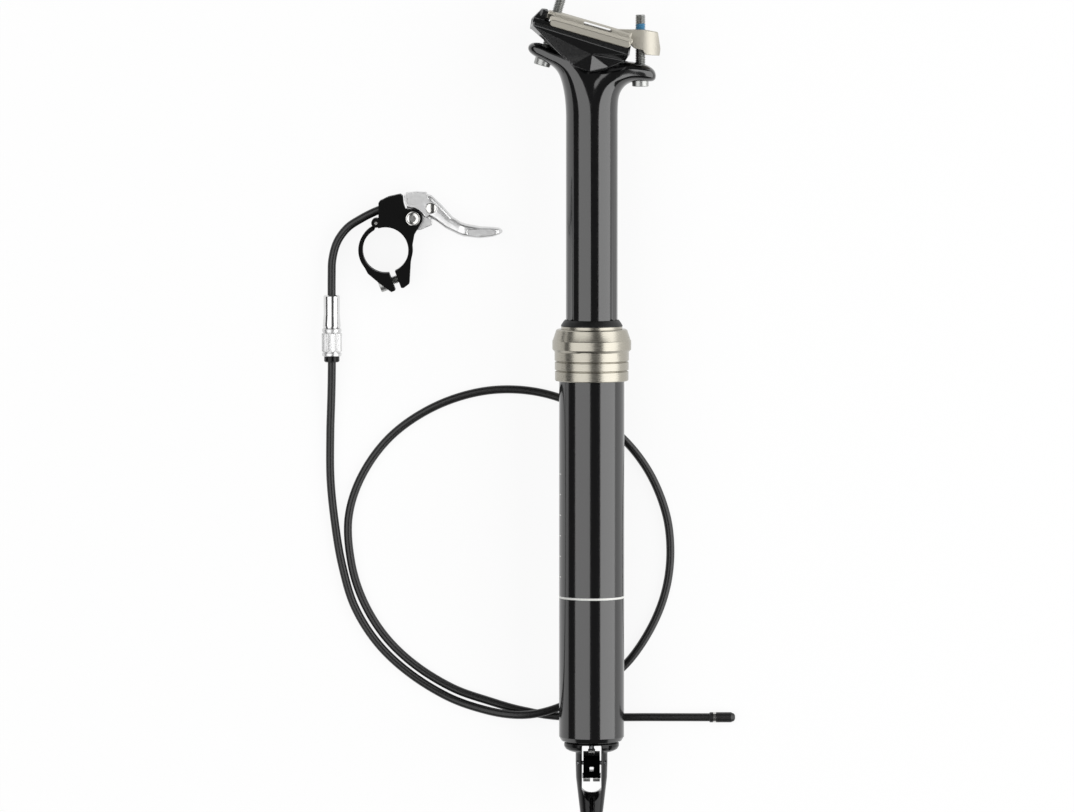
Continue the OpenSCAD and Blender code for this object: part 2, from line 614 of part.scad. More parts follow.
module clamp_strap() {
    lug = shift([[-10.6, -7.6], [-8.6, -11.4], [-2.9, -16.2], [2.9, -20.4], [6.1, -18.9], [3.2, -11]],
        grow * [0, -1]);
    color("#121213") in_remote() difference() {
        union() {
            layer(-band_half, band_half) difference() {
                intersection() {
                    union() {
                        circle(band_r, $fn = 96);
                        polygon(lug);
                    }
                    strap_side();
                }
                circle(bar_r, $fn = 96);
                split_line();
                translate(hinge) circle(3);
                translate(hinge + [-0.8, -4]) square([6, 8]);
            }
            layer(-2.9, 2.9) difference() {
                union() {
                    translate(hinge) circle(2.2);
                    intersection() {
                        circle(band_r, $fn = 96);
                        polygon([hinge, hinge + [-1, -5], hinge + [-7, -5], hinge + [-7, 0]]);
                    }
                }
                circle(bar_r, $fn = 96);
            }
        }
        translate([hinge[0], hinge[1], -10]) cylinder(r = 0.75 + fit, h = 20);
        pin_along(gap_mid, bolt_angle, 0, band_bolt_d / 2 + 0.75, -20, 2);
        pin_along(gap_mid, bolt_angle, 0, band_bolt_d / 2 + 2.3, -20, -band_head_t);
    }
}
band_head_t = 4.6;
module strap_hinge_pin() {
    color("#d0d0d0") in_remote() translate([hinge[0], hinge[1], -band_half]) cylinder(r = 0.75, h = band_w);
}
module clamp_bolt() {
    color("#c8c8ca") in_remote() difference() {
        union() {
            pin_along(gap_mid, bolt_angle, 0, band_bolt_d / 2, -band_head_t - 0.1, 7.2);
            pin_along(gap_mid, bolt_angle, 0, band_bolt_d / 2 + 1.5, -band_head_t - 3.6, -band_head_t - 0.1);
        }
        translate([gap_mid[0], gap_mid[1], 0]) rotate([0, 0, bolt_angle]) rotate([0, 90, 0])
            translate([0, 0, -band_head_t - 5]) cylinder(d = 3 / cos(30), h = 3.4, $fn = 6);
    }
}

// Thumb lever: a flat hub between the body's ears, and an arm that ends in a paddle
lever_arm = [
    [[16.6, 19.6], [16.9, 28.1], 4.2], [[20.3, 16.4], [22.4, 26.6], 4.3], [[24.4, 14], [27.5, 21.7], 4.4],
    [[29.4, 10.3], [32.4, 16.3], 4.5], [[34.9, 7.6], [36.6, 13.5], 4.8], [[37.6, 6.5], [38.8, 12.8], 5.4],
    [[45.6, 5.6], [45.8, 11.4], 5.5], [[52.4, 6.4], [52.2, 11.1], 5.3], [[55.4, 7.5], [55.2, 10.7], 4.4],
    [[56.9, 8.6], [56.7, 9.7], 2.4]];
nipple = [22.2, 20.3];
spring_room = 1.9;
module lever_cheek() {
    polygon([[9.4, 23.7], [9.1, 26.6], [10, 27.8], [15.1, 28.3], [20, 28], [22, 20], [20.6, 16.3], [19.5, 15.9],
        [18.2, 17.6], [16.6, 19.2], [14.4, 20.4], [12.4, 20.7], [10.4, 21.3]]);
}
module in_lever() { in_remote() translate(pivot - [13.3, 15.4]) children(); }
module thumb_lever() {
    hub = [13.3, 15.4];
    color("#c4c6c8") in_lever() difference() {
        union() {
            layer(-4.2, 4.2) lever_cheek();
            layer(-hub_half, hub_half) {
                translate(hub) circle(4.4);
                polygon([[10.4, 18.6], [10.4, 22], [19, 24], [22, 16.4], [17.4, 13.4]]);
                polygon([[14.6, 9.4], [17.6, 9.9], [19, 10.6], [22.8, 12.2], [22.4, 15.8], [16, 17], [11, 13]]);
            }
            loft([for (s = lever_arm) s], 20, 3.4);
        }
        translate([hub[0], hub[1], -10]) cylinder(r = pivot_d / 2 + 0.7, h = 20);
        translate([nipple[0], nipple[1], -10]) cylinder(r = 2.5 + seat, h = 20);
        // slot that the bare wire runs in
        translate([nipple[0], nipple[1], 0]) rotate([0, 0, 163]) translate([0, -0.8, -0.8]) cube([20, 1.6, 1.6]);
        // recess in each side of the paddle
        for (s = [-1, 1]) translate([46.8, 8.5, s * 5.4]) rotate([0, 0, -1])
            translate([0, 0, -0.5]) linear_extrude(1) slot_2d(11.4, 1.7);
        // room for the return spring
        translate([hub[0], hub[1], -hub_half - 0.1]) cylinder(r = 3.7, h = spring_room);
    }
}
module lever_pivot_bolt() {
    color("#d4d2ce") in_remote() translate([pivot[0], pivot[1], 0]) difference() {
        union() {
            translate([0, 0, -band_half + 0.2]) cylinder(d = pivot_d, h = band_w);
            translate([0, 0, band_half + 0.02]) cylinder(r = 3.55, h = 1.3);
            translate([0, 0, band_half + 1.3]) cylinder(r1 = 3.55, r2 = 3.1, h = 0.4, $fn = 48);
        }
        translate([0, 0, band_half + 0.4]) cylinder(d = 3 / cos(30), h = 4, $fn = 6);
    }
}
module lever_bushing() {
    color("#c8a24a") in_remote() translate([pivot[0], pivot[1], -hub_half + spring_room]) difference() {
        cylinder(r = pivot_d / 2 + 0.7 - seat, h = hub_t - spring_room - 0.1);
        translate([0, 0, -1]) cylinder(r = pivot_d / 2 + fit, h = hub_t + 2);
    }
}
// Torsion spring round the pivot, one unbroken wire
spring_wire = 0.5;
spring_turns = 2;
spring_steps = 40;
module lever_spring() {
    r = pivot_d / 2 + 0.9;
    line = [for (i = [0:spring_steps]) let (a = 360 * spring_turns * i / spring_steps)
        [r * cos(a), r * sin(a), 0.58 * spring_turns * i / spring_steps]];
    color("#9b9da0") in_remote() translate([pivot[0], pivot[1], -hub_half + 0.2])
        swept_tube(line, spring_wire / 2, 6);
}
module cable_nipple() {
    color("#e2e2e0") in_lever() {
        translate([nipple[0], nipple[1], -4.4]) cylinder(r = 2.5, h = 8.8);
        pin_along(nipple, 163, 0, 0.6, 2.3, 12.6);
    }
}
module inner_wire() { color("#b0b2b4") in_remote() pin_along(exit_at, 21.7, 0, 0.6, 6.4, 15.2); }

// Cable housing. Each route is a list of points in the part's own frame
housing_r = housing_d / 2;
lie_z = floor_z + housing_r;
end_z = floor_z + ferrule_d / 2;
adj_x = -126.4;
adj_z = floor_z + barrel_d / 2 + 0.2;
start = [remote_x, remote_y] + exit_at;
upper_route = [
    [start[0] + 5.4, start[1] + 2.15, remote_z], [start[0], start[1], remote_z], [-112, 77.6, remote_z - 0.2],
    [-118.6, 73.2, remote_z - 0.5], [-123.6, 66.4, remote_z - 0.8], [-126, 58, adj_z], [adj_x, 49, adj_z],
    [adj_x, 33.2, adj_z]];
lower_route = [
    [adj_x, 13, adj_z], [adj_x, 5, adj_z], [-126.7, -9, lie_z + 1.6], [-127.3, -28, lie_z],
    [-127.2, -50, lie_z], [-125, -72, lie_z], [-121.6, -92, lie_z], [-115.6, -112, lie_z],
    [-104.4, -130, lie_z], [-89, -144.6, lie_z], [-70, -156.4, lie_z], [-52, -162.6, lie_z + 2],
    [-37, -164.8, lie_z + 4.4], [-24, -163.6, lie_z + 4.4], [-10, -158.8, lie_z + 1.6], [6, -149.6, lie_z],
    [19, -138, lie_z], [30, -121, lie_z], [36.6, -103, lie_z], [38.6, -84, lie_z], [36, -65, lie_z],
    [27.4, -45, lie_z], [13.5, -28, lie_z], [-6, -14, lie_z], [-28, -6.8, lie_z], [-52, -6.6, lie_z],
    [-76, -14, lie_z], [-97, -28, lie_z], [-111.4, -47, lie_z], [-118.4, -68, lie_z], [-117.2, -90.4, lie_z],
    [-111.2, -109.6, lie_z], [-100.6, -126.8, lie_z], [-86, -140.8, lie_z], [-67.8, -152, lie_z],
    [-50, -158.4, lie_z], [-33, -163.2, lie_z], [-12, -166.2, lie_z], [30, -166.4, lie_z],
    [54, -166.4, end_z], [62.8, -166.4, end_z]];
cord_sides = 10;
cord_step = 12.5;
module housing_upper() { color("#1b1b1b") swept_tube(route_line(upper_route, cord_step), housing_r, cord_sides); }
module housing_lower() { color("#1b1b1b") swept_tube(route_line(lower_route, cord_step), housing_r, cord_sides); }

// In-line barrel adjuster
adj_top = 40.4;
body_len = 16;
barrel_len = 13.8;
cap_len = 2.8;
barrel_top = adj_top - body_len - 0.1;
barrel_low = barrel_top - barrel_len;
stem_r = 2.9;
module on_adjuster() { translate([adj_x, 0, adj_z]) children(); }
module adjuster_body() {
    color("#d8d8da") on_adjuster() turned([[housing_r + 0.05, adj_top], [3.5, adj_top], [4, adj_top - 0.6],
        [3.9, adj_top - 9], [4.4, barrel_top + 1], [4.1, barrel_top + 0.1], [stem_r + fit, barrel_top + 0.1],
        [stem_r + fit, barrel_top + 6.2], [0.9, barrel_top + 6.2], [0.9, adj_top - 7.4],
        [housing_r + 0.05, adj_top - 7.4]]);
}
module adjuster_barrel() {
    color("#9c9da0") on_adjuster() difference() {
        turned([[0.9, barrel_low], [barrel_d / 2 - 0.8, barrel_low], [barrel_d / 2, barrel_low + 0.8],
            [barrel_d / 2, barrel_top - 0.8], [barrel_d / 2 - 0.8, barrel_top], [stem_r, barrel_top],
            [stem_r, barrel_top + 6], [0.9, barrel_top + 6]]);
        for (a = [0:30:330]) along_y() rotate([0, 0, a])
            translate([barrel_d / 2 + 0.55, 0, barrel_low + 2.4]) cylinder(r = 1, h = barrel_len - 4.8, $fn = 24);
        along_y() translate([0, 0, barrel_low - 1]) cylinder(r = stem_r + fit, h = 4.4);
    }
}
module adjuster_cap() {
    color("#2c2c2e") on_adjuster() turned([[housing_r + 0.05, barrel_low - cap_len], [3.2, barrel_low - cap_len],
        [3.75, barrel_low - cap_len + 0.5], [3.75, barrel_low - 0.1], [stem_r, barrel_low - 0.1],
        [stem_r, barrel_low + 3.2], [0.9, barrel_low + 3.2], [0.9, 13.1], [housing_r + 0.05, 13.1]]);
}

// Ferrule on the cable's free end, with its crimped ring
ferrule_x = 57.8;
ferrule_len = 12.5;
module on_ferrule() { translate([ferrule_x, -166.4, floor_z + ferrule_d / 2]) rotate([0, 0, -90]) children(); }
module end_ferrule() {
    r = ferrule_d / 2;
    color("#1a1a1a") on_ferrule() difference() {
        turned([[0, 0], [r - 0.3, 0], [r, 0.3], [r, 1.7], [r - 0.35, 1.75], [r - 0.35, 3.2], [r, 3.25],
            [r, ferrule_len - 2], [r - 0.7, ferrule_len - 0.5], [r - 1.5, ferrule_len], [0, ferrule_len]]);
        along_y() translate([0, 0, -1]) cylinder(r = housing_r + 0.05, h = 6.2);
    }
}
module ferrule_ring() {
    r = ferrule_d / 2;
    color("#c9c8c4") on_ferrule() ring(r, r - 0.33, 1.8, 3.15);
}

outer_tube();
collar();
wiper_ring();
wiper_seal();
upper_bushing();
foot_plug();
plug_o_ring();
bottom_bumper();
piston_rod();
piston();
piston_o_ring();
release_pin();
rocker();
rocker_pin();
cable_anchor();
stanchion_head();
lower_bushing();
guide_keys();
cartridge_tube();
cartridge_gland();
gland_seal();
cartridge_cap();
lower_clamp();
upper_clamp();
rear_bolt();
rear_washer();
front_bolt();
front_washer();
clamp_body();
clamp_strap();
strap_hinge_pin();
clamp_bolt();
thumb_lever();
lever_pivot_bolt();
lever_bushing();
lever_spring();
cable_nipple();
inner_wire();
housing_upper();
adjuster_body();
adjuster_barrel();
adjuster_cap();
housing_lower();
end_ferrule();
ferrule_ring();
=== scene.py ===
import math

import bmesh
import bpy
from mathutils import Matrix, Vector


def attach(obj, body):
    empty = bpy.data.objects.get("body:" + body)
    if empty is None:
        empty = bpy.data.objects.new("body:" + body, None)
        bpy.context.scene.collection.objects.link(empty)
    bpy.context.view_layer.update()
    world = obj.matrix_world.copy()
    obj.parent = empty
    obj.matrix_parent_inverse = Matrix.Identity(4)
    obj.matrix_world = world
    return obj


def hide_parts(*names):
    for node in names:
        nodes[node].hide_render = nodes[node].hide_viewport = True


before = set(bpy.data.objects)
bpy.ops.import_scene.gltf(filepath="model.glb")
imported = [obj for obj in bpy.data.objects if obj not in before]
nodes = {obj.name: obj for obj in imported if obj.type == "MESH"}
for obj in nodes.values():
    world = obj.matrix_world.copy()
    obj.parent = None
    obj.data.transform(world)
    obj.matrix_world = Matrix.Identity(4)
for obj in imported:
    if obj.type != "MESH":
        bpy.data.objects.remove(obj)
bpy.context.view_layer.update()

# Lower tube
# Drawn 6061 aluminium, polished and then hard anodised black. A white ring line printed round it marks the
# least insertion, and short height marks every 10 mm run up its side.
MM = 0.001
MIN_INSERTION_Y, RING_HALF = -105, 0.5
LOW_MARK_Y, HIGH_MARK_Y = -95, -45
MARK_EVERY, MARK_HALF = 10, 0.22
MARKED_X, MARKED_HALF = -16, 1.1


def linear(colour):
    """The shader's linear colour of an sRGB hex value"""
    parts = [int(colour[i:i + 2], 16) / 255 for i in (1, 3, 5)]
    return [c / 12.92 if c <= 0.04045 else ((c + 0.055) / 1.055) ** 2.4 for c in parts] + [1]


def add(material, kind, settings=None, links=None):
    """Adds one shader node with its settings and links"""
    node = material.node_tree.nodes.new("ShaderNode" + kind)
    for name, value in (settings or {}).items():
        if isinstance(name, str) and hasattr(node, name):
            setattr(node, name, value)
        else:
            node.inputs[name].default_value = value
    for name, source in (links or {}).items():
        material.node_tree.links.new(source, node.inputs[name])
    return node


def finish_of(name, colour, metallic, roughness, sockets=None):
    """A material with its plain values on the shader's own sockets"""
    material = bpy.data.materials.new(name)
    material.use_nodes = True
    shader = material.node_tree.nodes["Principled BSDF"]
    shader.inputs["Base Color"].default_value = linear(colour)
    shader.inputs["Metallic"].default_value = metallic
    shader.inputs["Roughness"].default_value = roughness
    for socket, value in (sockets or {}).items():
        shader.inputs[socket].default_value = value
    return material


def into(material, socket, source):
    """Links a node's output to the material's shader"""
    shader = material.node_tree.nodes["Principled BSDF"]
    material.node_tree.links.new(source, shader.inputs[socket])


def lumps_of(material, size, stretch=(1, 1, 1)):
    """Noise with lumps of a real size in millimetres, in the object's own place"""
    place = add(material, "TexCoord")
    scaled = add(material, "Mapping", {"Scale": stretch}, {"Vector": place.outputs["Object"]})
    noise = add(material, "TexNoise", {"Scale": 1 / (size * MM), "Detail": 3}, {"Vector": scaled.outputs[0]})
    return noise.outputs[0]


def relief(material, lumps, proud):
    """Fine relief whose lumps stand so many millimetres proud"""
    bump = add(material, "Bump", {"Distance": proud * MM}, {"Height": lumps})
    into(material, "Normal", bump.outputs[0])


def tint(material, amount, low, high):
    """Colour between two hex values by an amount from 0 to 1"""
    shade = add(material, "ValToRGB", links={"Fac": amount})
    for stop, colour in zip(shade.color_ramp.elements, (low, high)):
        stop.color = linear(colour)
    into(material, "Base Color", shade.outputs[0])


def dress(piece, material, slot, body=None, *stands_for):
    """Gives a piece its material, and a new piece its body, and hides the CAD nodes that it stands for. The
    slot is not used
    """
    piece.data.materials.clear()
    piece.data.materials.append(material)
    if body:
        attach(piece, body)
    if stands_for:
        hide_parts(*stands_for)


def coordinate(material, axis):
    """The place along one of the object's own axes, in metres"""
    place = add(material, "TexCoord")
    return add(material, "SeparateXYZ", links={0: place.outputs["Object"]}).outputs[axis]


def within(material, value, centre, half):
    """1 where a value is within half of centre, both in millimetres"""
    return add(material, "Math", {"operation": "COMPARE", 1: centre * MM, 2: half * MM},
               {0: value}).outputs[0]


def product(material, first, second):
    """Two values multiplied, so that 1 is left only where both are 1"""
    return add(material, "Math", {"operation": "MULTIPLY"}, {0: first, 1: second}).outputs[0]


def larger(material, first, second):
    """The larger of two values, so that 1 is left where either is 1"""
    return add(material, "Math", {"operation": "MAXIMUM"}, {0: first, 1: second}).outputs[0]


# Hard anodising on a polished tube: near black, clear reflections that are only slightly soft
tube_anodise = finish_of("polished_black_anodise_marked", "#0c0c0d", 0, 0.1, {"IOR": 1.77})
across = coordinate(tube_anodise, "X")
along = coordinate(tube_anodise, "Y")
ring_line = within(tube_anodise, along, MIN_INSERTION_Y, RING_HALF)
# The marks lie half a step from the whole tens, where the wrapped height jumps from one end to the other
HALF_STEP = MARK_EVERY / 2
steps = add(tube_anodise, "Math", {"operation": "WRAP", 1: HALF_STEP * MM, 2: -HALF_STEP * MM},
            {0: along}).outputs[0]
row = larger(tube_anodise, within(tube_anodise, steps, -HALF_STEP, MARK_HALF),
             within(tube_anodise, steps, HALF_STEP, MARK_HALF))
span = within(tube_anodise, along, (LOW_MARK_Y + HIGH_MARK_Y) / 2, (HIGH_MARK_Y - LOW_MARK_Y) / 2 + 1)
side = within(tube_anodise, across, MARKED_X, MARKED_HALF)
ticks = product(tube_anodise, product(tube_anodise, row, span), side)
white = larger(tube_anodise, ring_line, ticks)
tint(tube_anodise, white, "#060607", "#d6d6d2")
ink_gloss = add(tube_anodise, "MapRange", {"To Min": 0.1, "To Max": 0.45}, {"Value": white}).outputs[0]
drawn = lumps_of(tube_anodise, 2.5, (1, 0.15, 1))
wander = add(tube_anodise, "Math", {"operation": "MULTIPLY_ADD", 1: 0.05}, {0: drawn, 2: ink_gloss})
into(tube_anodise, "Roughness", wander.outputs[0])
relief(tube_anodise, drawn, 0.002)
dress(nodes["outer_tube"], tube_anodise, "black_tube")

# Collar, wiper and the tube's bushing
# The collar is turned from aluminium bar and anodised titanium grey; it screws on the tube's neck and holds a
# moulded nitrile wiper under a bright snap ring. The bushing behind it is machined acetal.


def surface(name, colour, metallic, roughness, grain, span, proud, stretch=(1, 1, 1), sockets=None):
    """A finish with a grain of a real size, whose roughness wanders over a span and which stands proud"""
    material = finish_of(name, colour, metallic, roughness, sockets)
    lumps = lumps_of(material, grain, stretch)
    low, high = span
    wander = add(material, "MapRange", {"From Min": 0.3, "From Max": 0.7, "To Min": low, "To Max": high},
                 {"Value": lumps})
    into(material, "Roughness", wander.outputs[0])
    relief(material, lumps, proud)
    return material


def turned(profile, steps=160, flutes=0, depth=0, outside=0, phase=0):
    """A closed profile of (radius, height) pairs turned about Z, with flutes cut where it is wide enough"""
    points, faces = [], []
    count = len(profile)
    for k in range(steps):
        turn = 2 * math.pi * k / steps
        dip = depth * (0.5 - 0.5 * math.cos(flutes * turn + phase))
        for r, h in profile:
            reach = r - dip if r >= outside else r
            points.append((reach * math.cos(turn), reach * math.sin(turn), h))
    for k in range(steps):
        near, far = k * count, (k + 1) % steps * count
        faces += [(near + i, near + (i + 1) % count, far + (i + 1) % count, far + i) for i in range(count)]
    return points, faces


def placed(shape, matrix):
    """A shape, which is its points and faces, moved by a matrix"""
    return [matrix @ Vector(p) for p in shape[0]], shape[1]


def shaded(mesh, sharp=35):
    """Shades a mesh smooth but for edges sharper than the angle"""
    mesh.shade_smooth()
    mesh.set_sharp_from_angle(angle=math.radians(sharp))


def new_piece(name, shape, sharp=35):
    """A mesh object from points in millimetres and faces"""
    mesh = bpy.data.meshes.new(name)
    mesh.from_pydata([Vector(p) * MM for p in shape[0]], [], shape[1])
    work = bmesh.new()
    work.from_mesh(mesh)
    bmesh.ops.remove_doubles(work, verts=work.verts, dist=0.001 * MM)
    bmesh.ops.recalc_face_normals(work, faces=work.faces)
    work.to_mesh(mesh)
    work.free()
    shaded(mesh, sharp)
    piece = bpy.data.objects.new(name, mesh)
    bpy.context.scene.collection.objects.link(piece)
    return piece


def eased(piece, width, least=28):
    """Breaks the sharp edges by a small round of the width in millimetres"""
    bevel = piece.modifiers.new("broken_edges", "BEVEL")
    bevel.width = width * MM
    bevel.segments = 2
    bevel.angle_limit = math.radians(least)
    bevel.use_clamp_overlap = True
    bevel.harden_normals = True
    return piece


ALONG_POST = Matrix.Rotation(math.radians(-90), 4, "X")
NECK_R = 15.2
collar_profile = [
    (NECK_R + 0.02, 0.02), (17.4, 0.02), (17.8, 0.4), (17.8, 4.6), (17.1, 4.8), (17.1, 5.1), (17.9, 5.4),
    (17.9, 9.1), (17.2, 9.3), (17.2, 9.6), (18, 9.9), (18, 14.1), (18.75, 14.8), (19.15, 15.3), (19.15, 19.4),
    (18.85, 19.9), (17.2, 24.6), (16.6, 25), (14.4, 25), (14.4, 16.3), (NECK_R + 0.02, 16.3)]
titanium = surface("turned_titanium_grey_anodise", "#a9a59a", 1, 0.22, grain=0.22, stretch=(0.03, 1, 0.03),
                   span=(0.25, 0.31), proud=0.0008)
# Six shallow scallops round the widest band help the fingers unscrew it
scalloped = turned(collar_profile, steps=240, flutes=6, depth=0.45, outside=18.5, phase=1)
collar = eased(new_piece("grip_collar", placed(scalloped, ALONG_POST)), 0.12)
dress(collar, titanium, "titanium_grey", "lower_post", "collar")
dress(nodes["wiper_ring"], titanium, "bright_alloy")

rubber = surface("moulded_nitrile_rubber", "#0c0c0c", 0, 0.45, grain=0.3,
                 span=(0.36, 0.5), proud=0.006, sockets={"Specular IOR Level": 0.35})
for name in ("wiper_seal", "plug_o_ring", "bottom_bumper", "piston_o_ring", "gland_seal"):
    dress(nodes[name], rubber, "black_rubber")

acetal = surface("machined_acetal", "#2c2c2e", 0, 0.4, grain=0.3, stretch=(0.08, 1, 0.08),
                 span=(0.34, 0.46), proud=0.004)
for name in ("upper_bushing", "lower_bushing"):
    dress(nodes[name], acetal, "bushing_plastic")

# Foot plug and release rocker
# Both are machined and then anodised or blackened satin; the plug is pressed in the tube over an O-ring. The
# rocker turns on a ground pin between the fork's legs and carries the steel anchor that the cable hooks in.


def from_cad(name, node):
    """A new piece with the shape of a CAD node, its split corners joined again"""
    mesh = nodes[node].data.copy()
    mesh.name = name
    work = bmesh.new()
    work.from_mesh(mesh)
    bmesh.ops.remove_doubles(work, verts=work.verts, dist=0.0005 * MM)
    work.to_mesh(mesh)
    work.free()
    piece = bpy.data.objects.new(name, mesh)
    bpy.context.scene.collection.objects.link(piece)
    return piece


def settle(piece):
    """Makes the piece's modifiers part of its mesh"""
    shaped = bpy.data.meshes.new_from_object(piece.evaluated_get(bpy.context.evaluated_depsgraph_get()))
    piece.modifiers.clear()
    piece.data = shaped


def fused(piece, voxel, rounds, skew=0):
    """Runs joined shapes into one skin and rounds their edges, as forging dies and a polishing wheel do

    The voxels' grid is turned about the post by the skew in degrees."""
    turn = Matrix.Rotation(math.radians(skew), 4, "Y")
    piece.data.transform(turn)
    remesh = piece.modifiers.new("skin", "REMESH")
    remesh.mode = "VOXEL"
    remesh.voxel_size = voxel * MM
    remesh.use_smooth_shade = True
    smooth = piece.modifiers.new("rounding", "SMOOTH")
    smooth.iterations = rounds
    smooth.factor = 0.5
    settle(piece)
    piece.data.transform(turn.inverted())
    piece.data.shade_smooth()
    return piece


def skinned(rings):
    """Rings of as many points each, skinned one to the next, with closed ends"""
    sides = len(rings[0])
    points = [point for ring in rings for point in ring]
    faces = []
    for i in range(len(rings) - 1):
        for k in range(sides):
            n = (k + 1) % sides
            faces.append((i * sides + k, i * sides + n, (i + 1) * sides + n, (i + 1) * sides + k))
    return points, faces + [tuple(range(sides)), tuple(range(len(points) - sides, len(points)))]


def prism(outline, low, high):
    """An outline in X and Y, solid between two heights"""
    return skinned([[(x, y, height) for x, y in outline] for height in (low, high)])


def rod(radius, low, high, steps=96):
    """A round bar about Z between two heights"""
    return turned([(0, low), (radius, low), (radius, high), (0, high)], steps)


def towards(at, direction):
    """Places a shape drawn about Z at a point, its Z along a direction"""
    turn = Vector(direction).to_track_quat("Z", "Y").to_matrix().to_4x4()
    return Matrix.Translation(Vector(at)) @ turn


def cut_away(piece, *tools):
    """Cuts machined holes and faces out of a piece"""
    for tool_shape in tools:
        tool = new_piece("cutter", tool_shape)
        cut = piece.modifiers.new("machining", "BOOLEAN")
        cut.operation = "DIFFERENCE"
        cut.solver = "MANIFOLD"
        cut.object = tool
        settle(piece)
        bpy.data.objects.remove(tool)
    shaded(piece.data)


satin = surface("satin_black_anodise", "#050506", 0, 0.22, grain=0.35,
                span=(0.16, 0.28), proud=0.003, sockets={"IOR": 1.36})
fork = fused(from_cad("foot_fork", "foot_plug"), 0.3, 2)
WINDOW_END_Y, WINDOW_END_Z, RAMP_R = -195.7, 2, 4.4
SLOT_FOOT_Y, SLOT_TOP_Y, SLOT_HALF = -179.4, -176.5, 0.8
window_ramps = []
spanner_slots = []
for side in (1, -1):
    ramp = towards((0, WINDOW_END_Y, side * WINDOW_END_Z), (0, -3.6, 4.5 * side))
    window_ramps.append(placed(rod(RAMP_R, 0, 14, 64), ramp))
    for x, depth in ((-5.1, 11.3), (9, 8.9)):
        slot = [(x - SLOT_HALF, SLOT_FOOT_Y), (x + SLOT_HALF, SLOT_FOOT_Y), (x + SLOT_HALF, SLOT_TOP_Y),
                (x - SLOT_HALF, SLOT_TOP_Y)]
        spanner_slots.append(prism(slot, *sorted((side * depth, side * 15))))
cut_away(fork, *window_ramps, *spanner_slots)
dress(fork, satin, "black_anodised", "lower_post", "foot_plug")
# The rocker is blackened all over, with painted highlights: light bands across it where the valve pin and the
# cable bear
blackened = finish_of("blackened_steel_painted_highlights", "#070708", 1, 0.34)
PIN_HIGHLIGHT_Y, CABLE_HIGHLIGHT_Y = -180.2, -193.9
level = coordinate(blackened, "Y")
painted_highlight = larger(blackened, within(blackened, level, PIN_HIGHLIGHT_Y, 0.95),
                within(blackened, level, CABLE_HIGHLIGHT_Y, 0.9))
# Painted highlight: near white bands at the pin's and the cable's heights stand in for light on the rocker
tint(blackened, painted_highlight, "#070708", "#c4c4c2")
highlight_roughness = add(blackened, "MapRange", {"To Min": 0.34, "To Max": 0.6}, {"Value": painted_highlight}).outputs[0]
into(blackened, "Roughness", highlight_roughness)
relief(blackened, lumps_of(blackened, 0.3), 0.003)
dress(fused(from_cad("release_rocker", "rocker"), 0.16, 2), blackened, "black_steel", "rocker", "rocker")

steel = surface("ground_steel", "#b6b7ba", 1, 0.22, grain=0.15, stretch=(0.05, 1, 0.05),
                span=(0.16, 0.3), proud=0.002)
for name in ("rocker_pin", "cable_anchor", "piston_rod"):
    dress(nodes[name], steel, "steel")

# Gas cartridge
# Honed aluminium tube with a brazed cap and a gland; the rod, piston and their seals run in it.
raw = surface("satin_turned_alloy", "#a7a9ac", 1, 0.32, grain=0.25, stretch=(0.05, 1, 0.05),
              span=(0.26, 0.4), proud=0.003)
for name in ("piston", "cartridge_tube", "cartridge_gland", "cartridge_cap", "release_pin"):
    dress(nodes[name], raw, "raw_alloy")
brass = surface("machined_brass", "#b8913e", 1, 0.3, grain=0.3, span=(0.24, 0.38), proud=0.003)
for name in ("guide_keys", "lever_bushing"):
    dress(nodes[name], brass, "brass")

# Stanchion and head
# One 7050 forging: the arms sweep out of the tube, then the tube is ground and the seats are bored. It is
# polished and hard anodised, so its curves carry long soft reflections.
FLARE_Y = 133.4
SEAT = (1, FLARE_Y + 32.3)
CRADLE_R = 16.08
POST_R = 12.5
HEAD_CUT_Y = 119


def sections_between(sections, count):
    """The sections with count - 1 more between each two, on smooth curves"""
    at = [Vector(s) for s in sections]
    every = []
    for i in range(len(at) - 1):
        before, start, end, after = at[max(i - 1, 0)], at[i], at[i + 1], at[min(i + 2, len(at) - 1)]
        for k in range(count):
            t = k / count
            line = 2 * start + (end - before) * t
            bend = (2 * before - 5 * start + 4 * end - after) * t * t
            twist = (3 * start - before - 3 * end + after) * t ** 3
            every.append(0.5 * (line + bend + twist))
    return every + [at[-1]]


def loft(sections, between=14, sides=160):
    """Rounded sections, each [edge x, edge y, other edge x, y, half width, power], skinned one to the next"""
    rings = []
    for ax, ay, bx, by, half, power in sections_between(sections, between):
        middle = Vector(((ax + bx) / 2, (ay + by) / 2, 0))
        reach = Vector(((bx - ax) / 2, (by - ay) / 2, 0))
        ring = []
        for k in range(sides):
            c, s = math.cos(2 * math.pi * k / sides), math.sin(2 * math.pi * k / sides)
            edge = math.copysign(abs(c) ** (2 / power), c)
            wide = math.copysign(abs(s) ** (2 / power), s)
            ring.append(middle + edge * reach + Vector((0, 0, half * wide)))
        rings.append(ring)
    return skinned(rings)


def slot_outline(length, radius, steps):
    """A slot's outline with round ends, its long way along X"""
    ends = []
    for side, start in ((1, -90), (-1, 90)):
        for k in range(steps + 1):
            turn = math.radians(start + 180 * k / steps)
            ends.append((side * length / 2 + radius * math.cos(turn), radius * math.sin(turn)))
    return ends


def slot_shape(length, radius, low, high):
    """A slot, solid between two heights"""
    return prism(slot_outline(length, radius, 24), low, high)


def together(*shapes):
    """Several shapes as one, not yet run into each other"""
    points, faces = [], []
    for more, sides in shapes:
        faces += [tuple(i + len(points) for i in side) for side in sides]
        points += list(more)
    return points, faces


def above_flare(sections):
    """The sections with their heights counted from where the tube begins to flare"""
    return [(a, FLARE_Y + b, c, FLARE_Y + d, half, power) for a, b, c, d, half, power in sections]


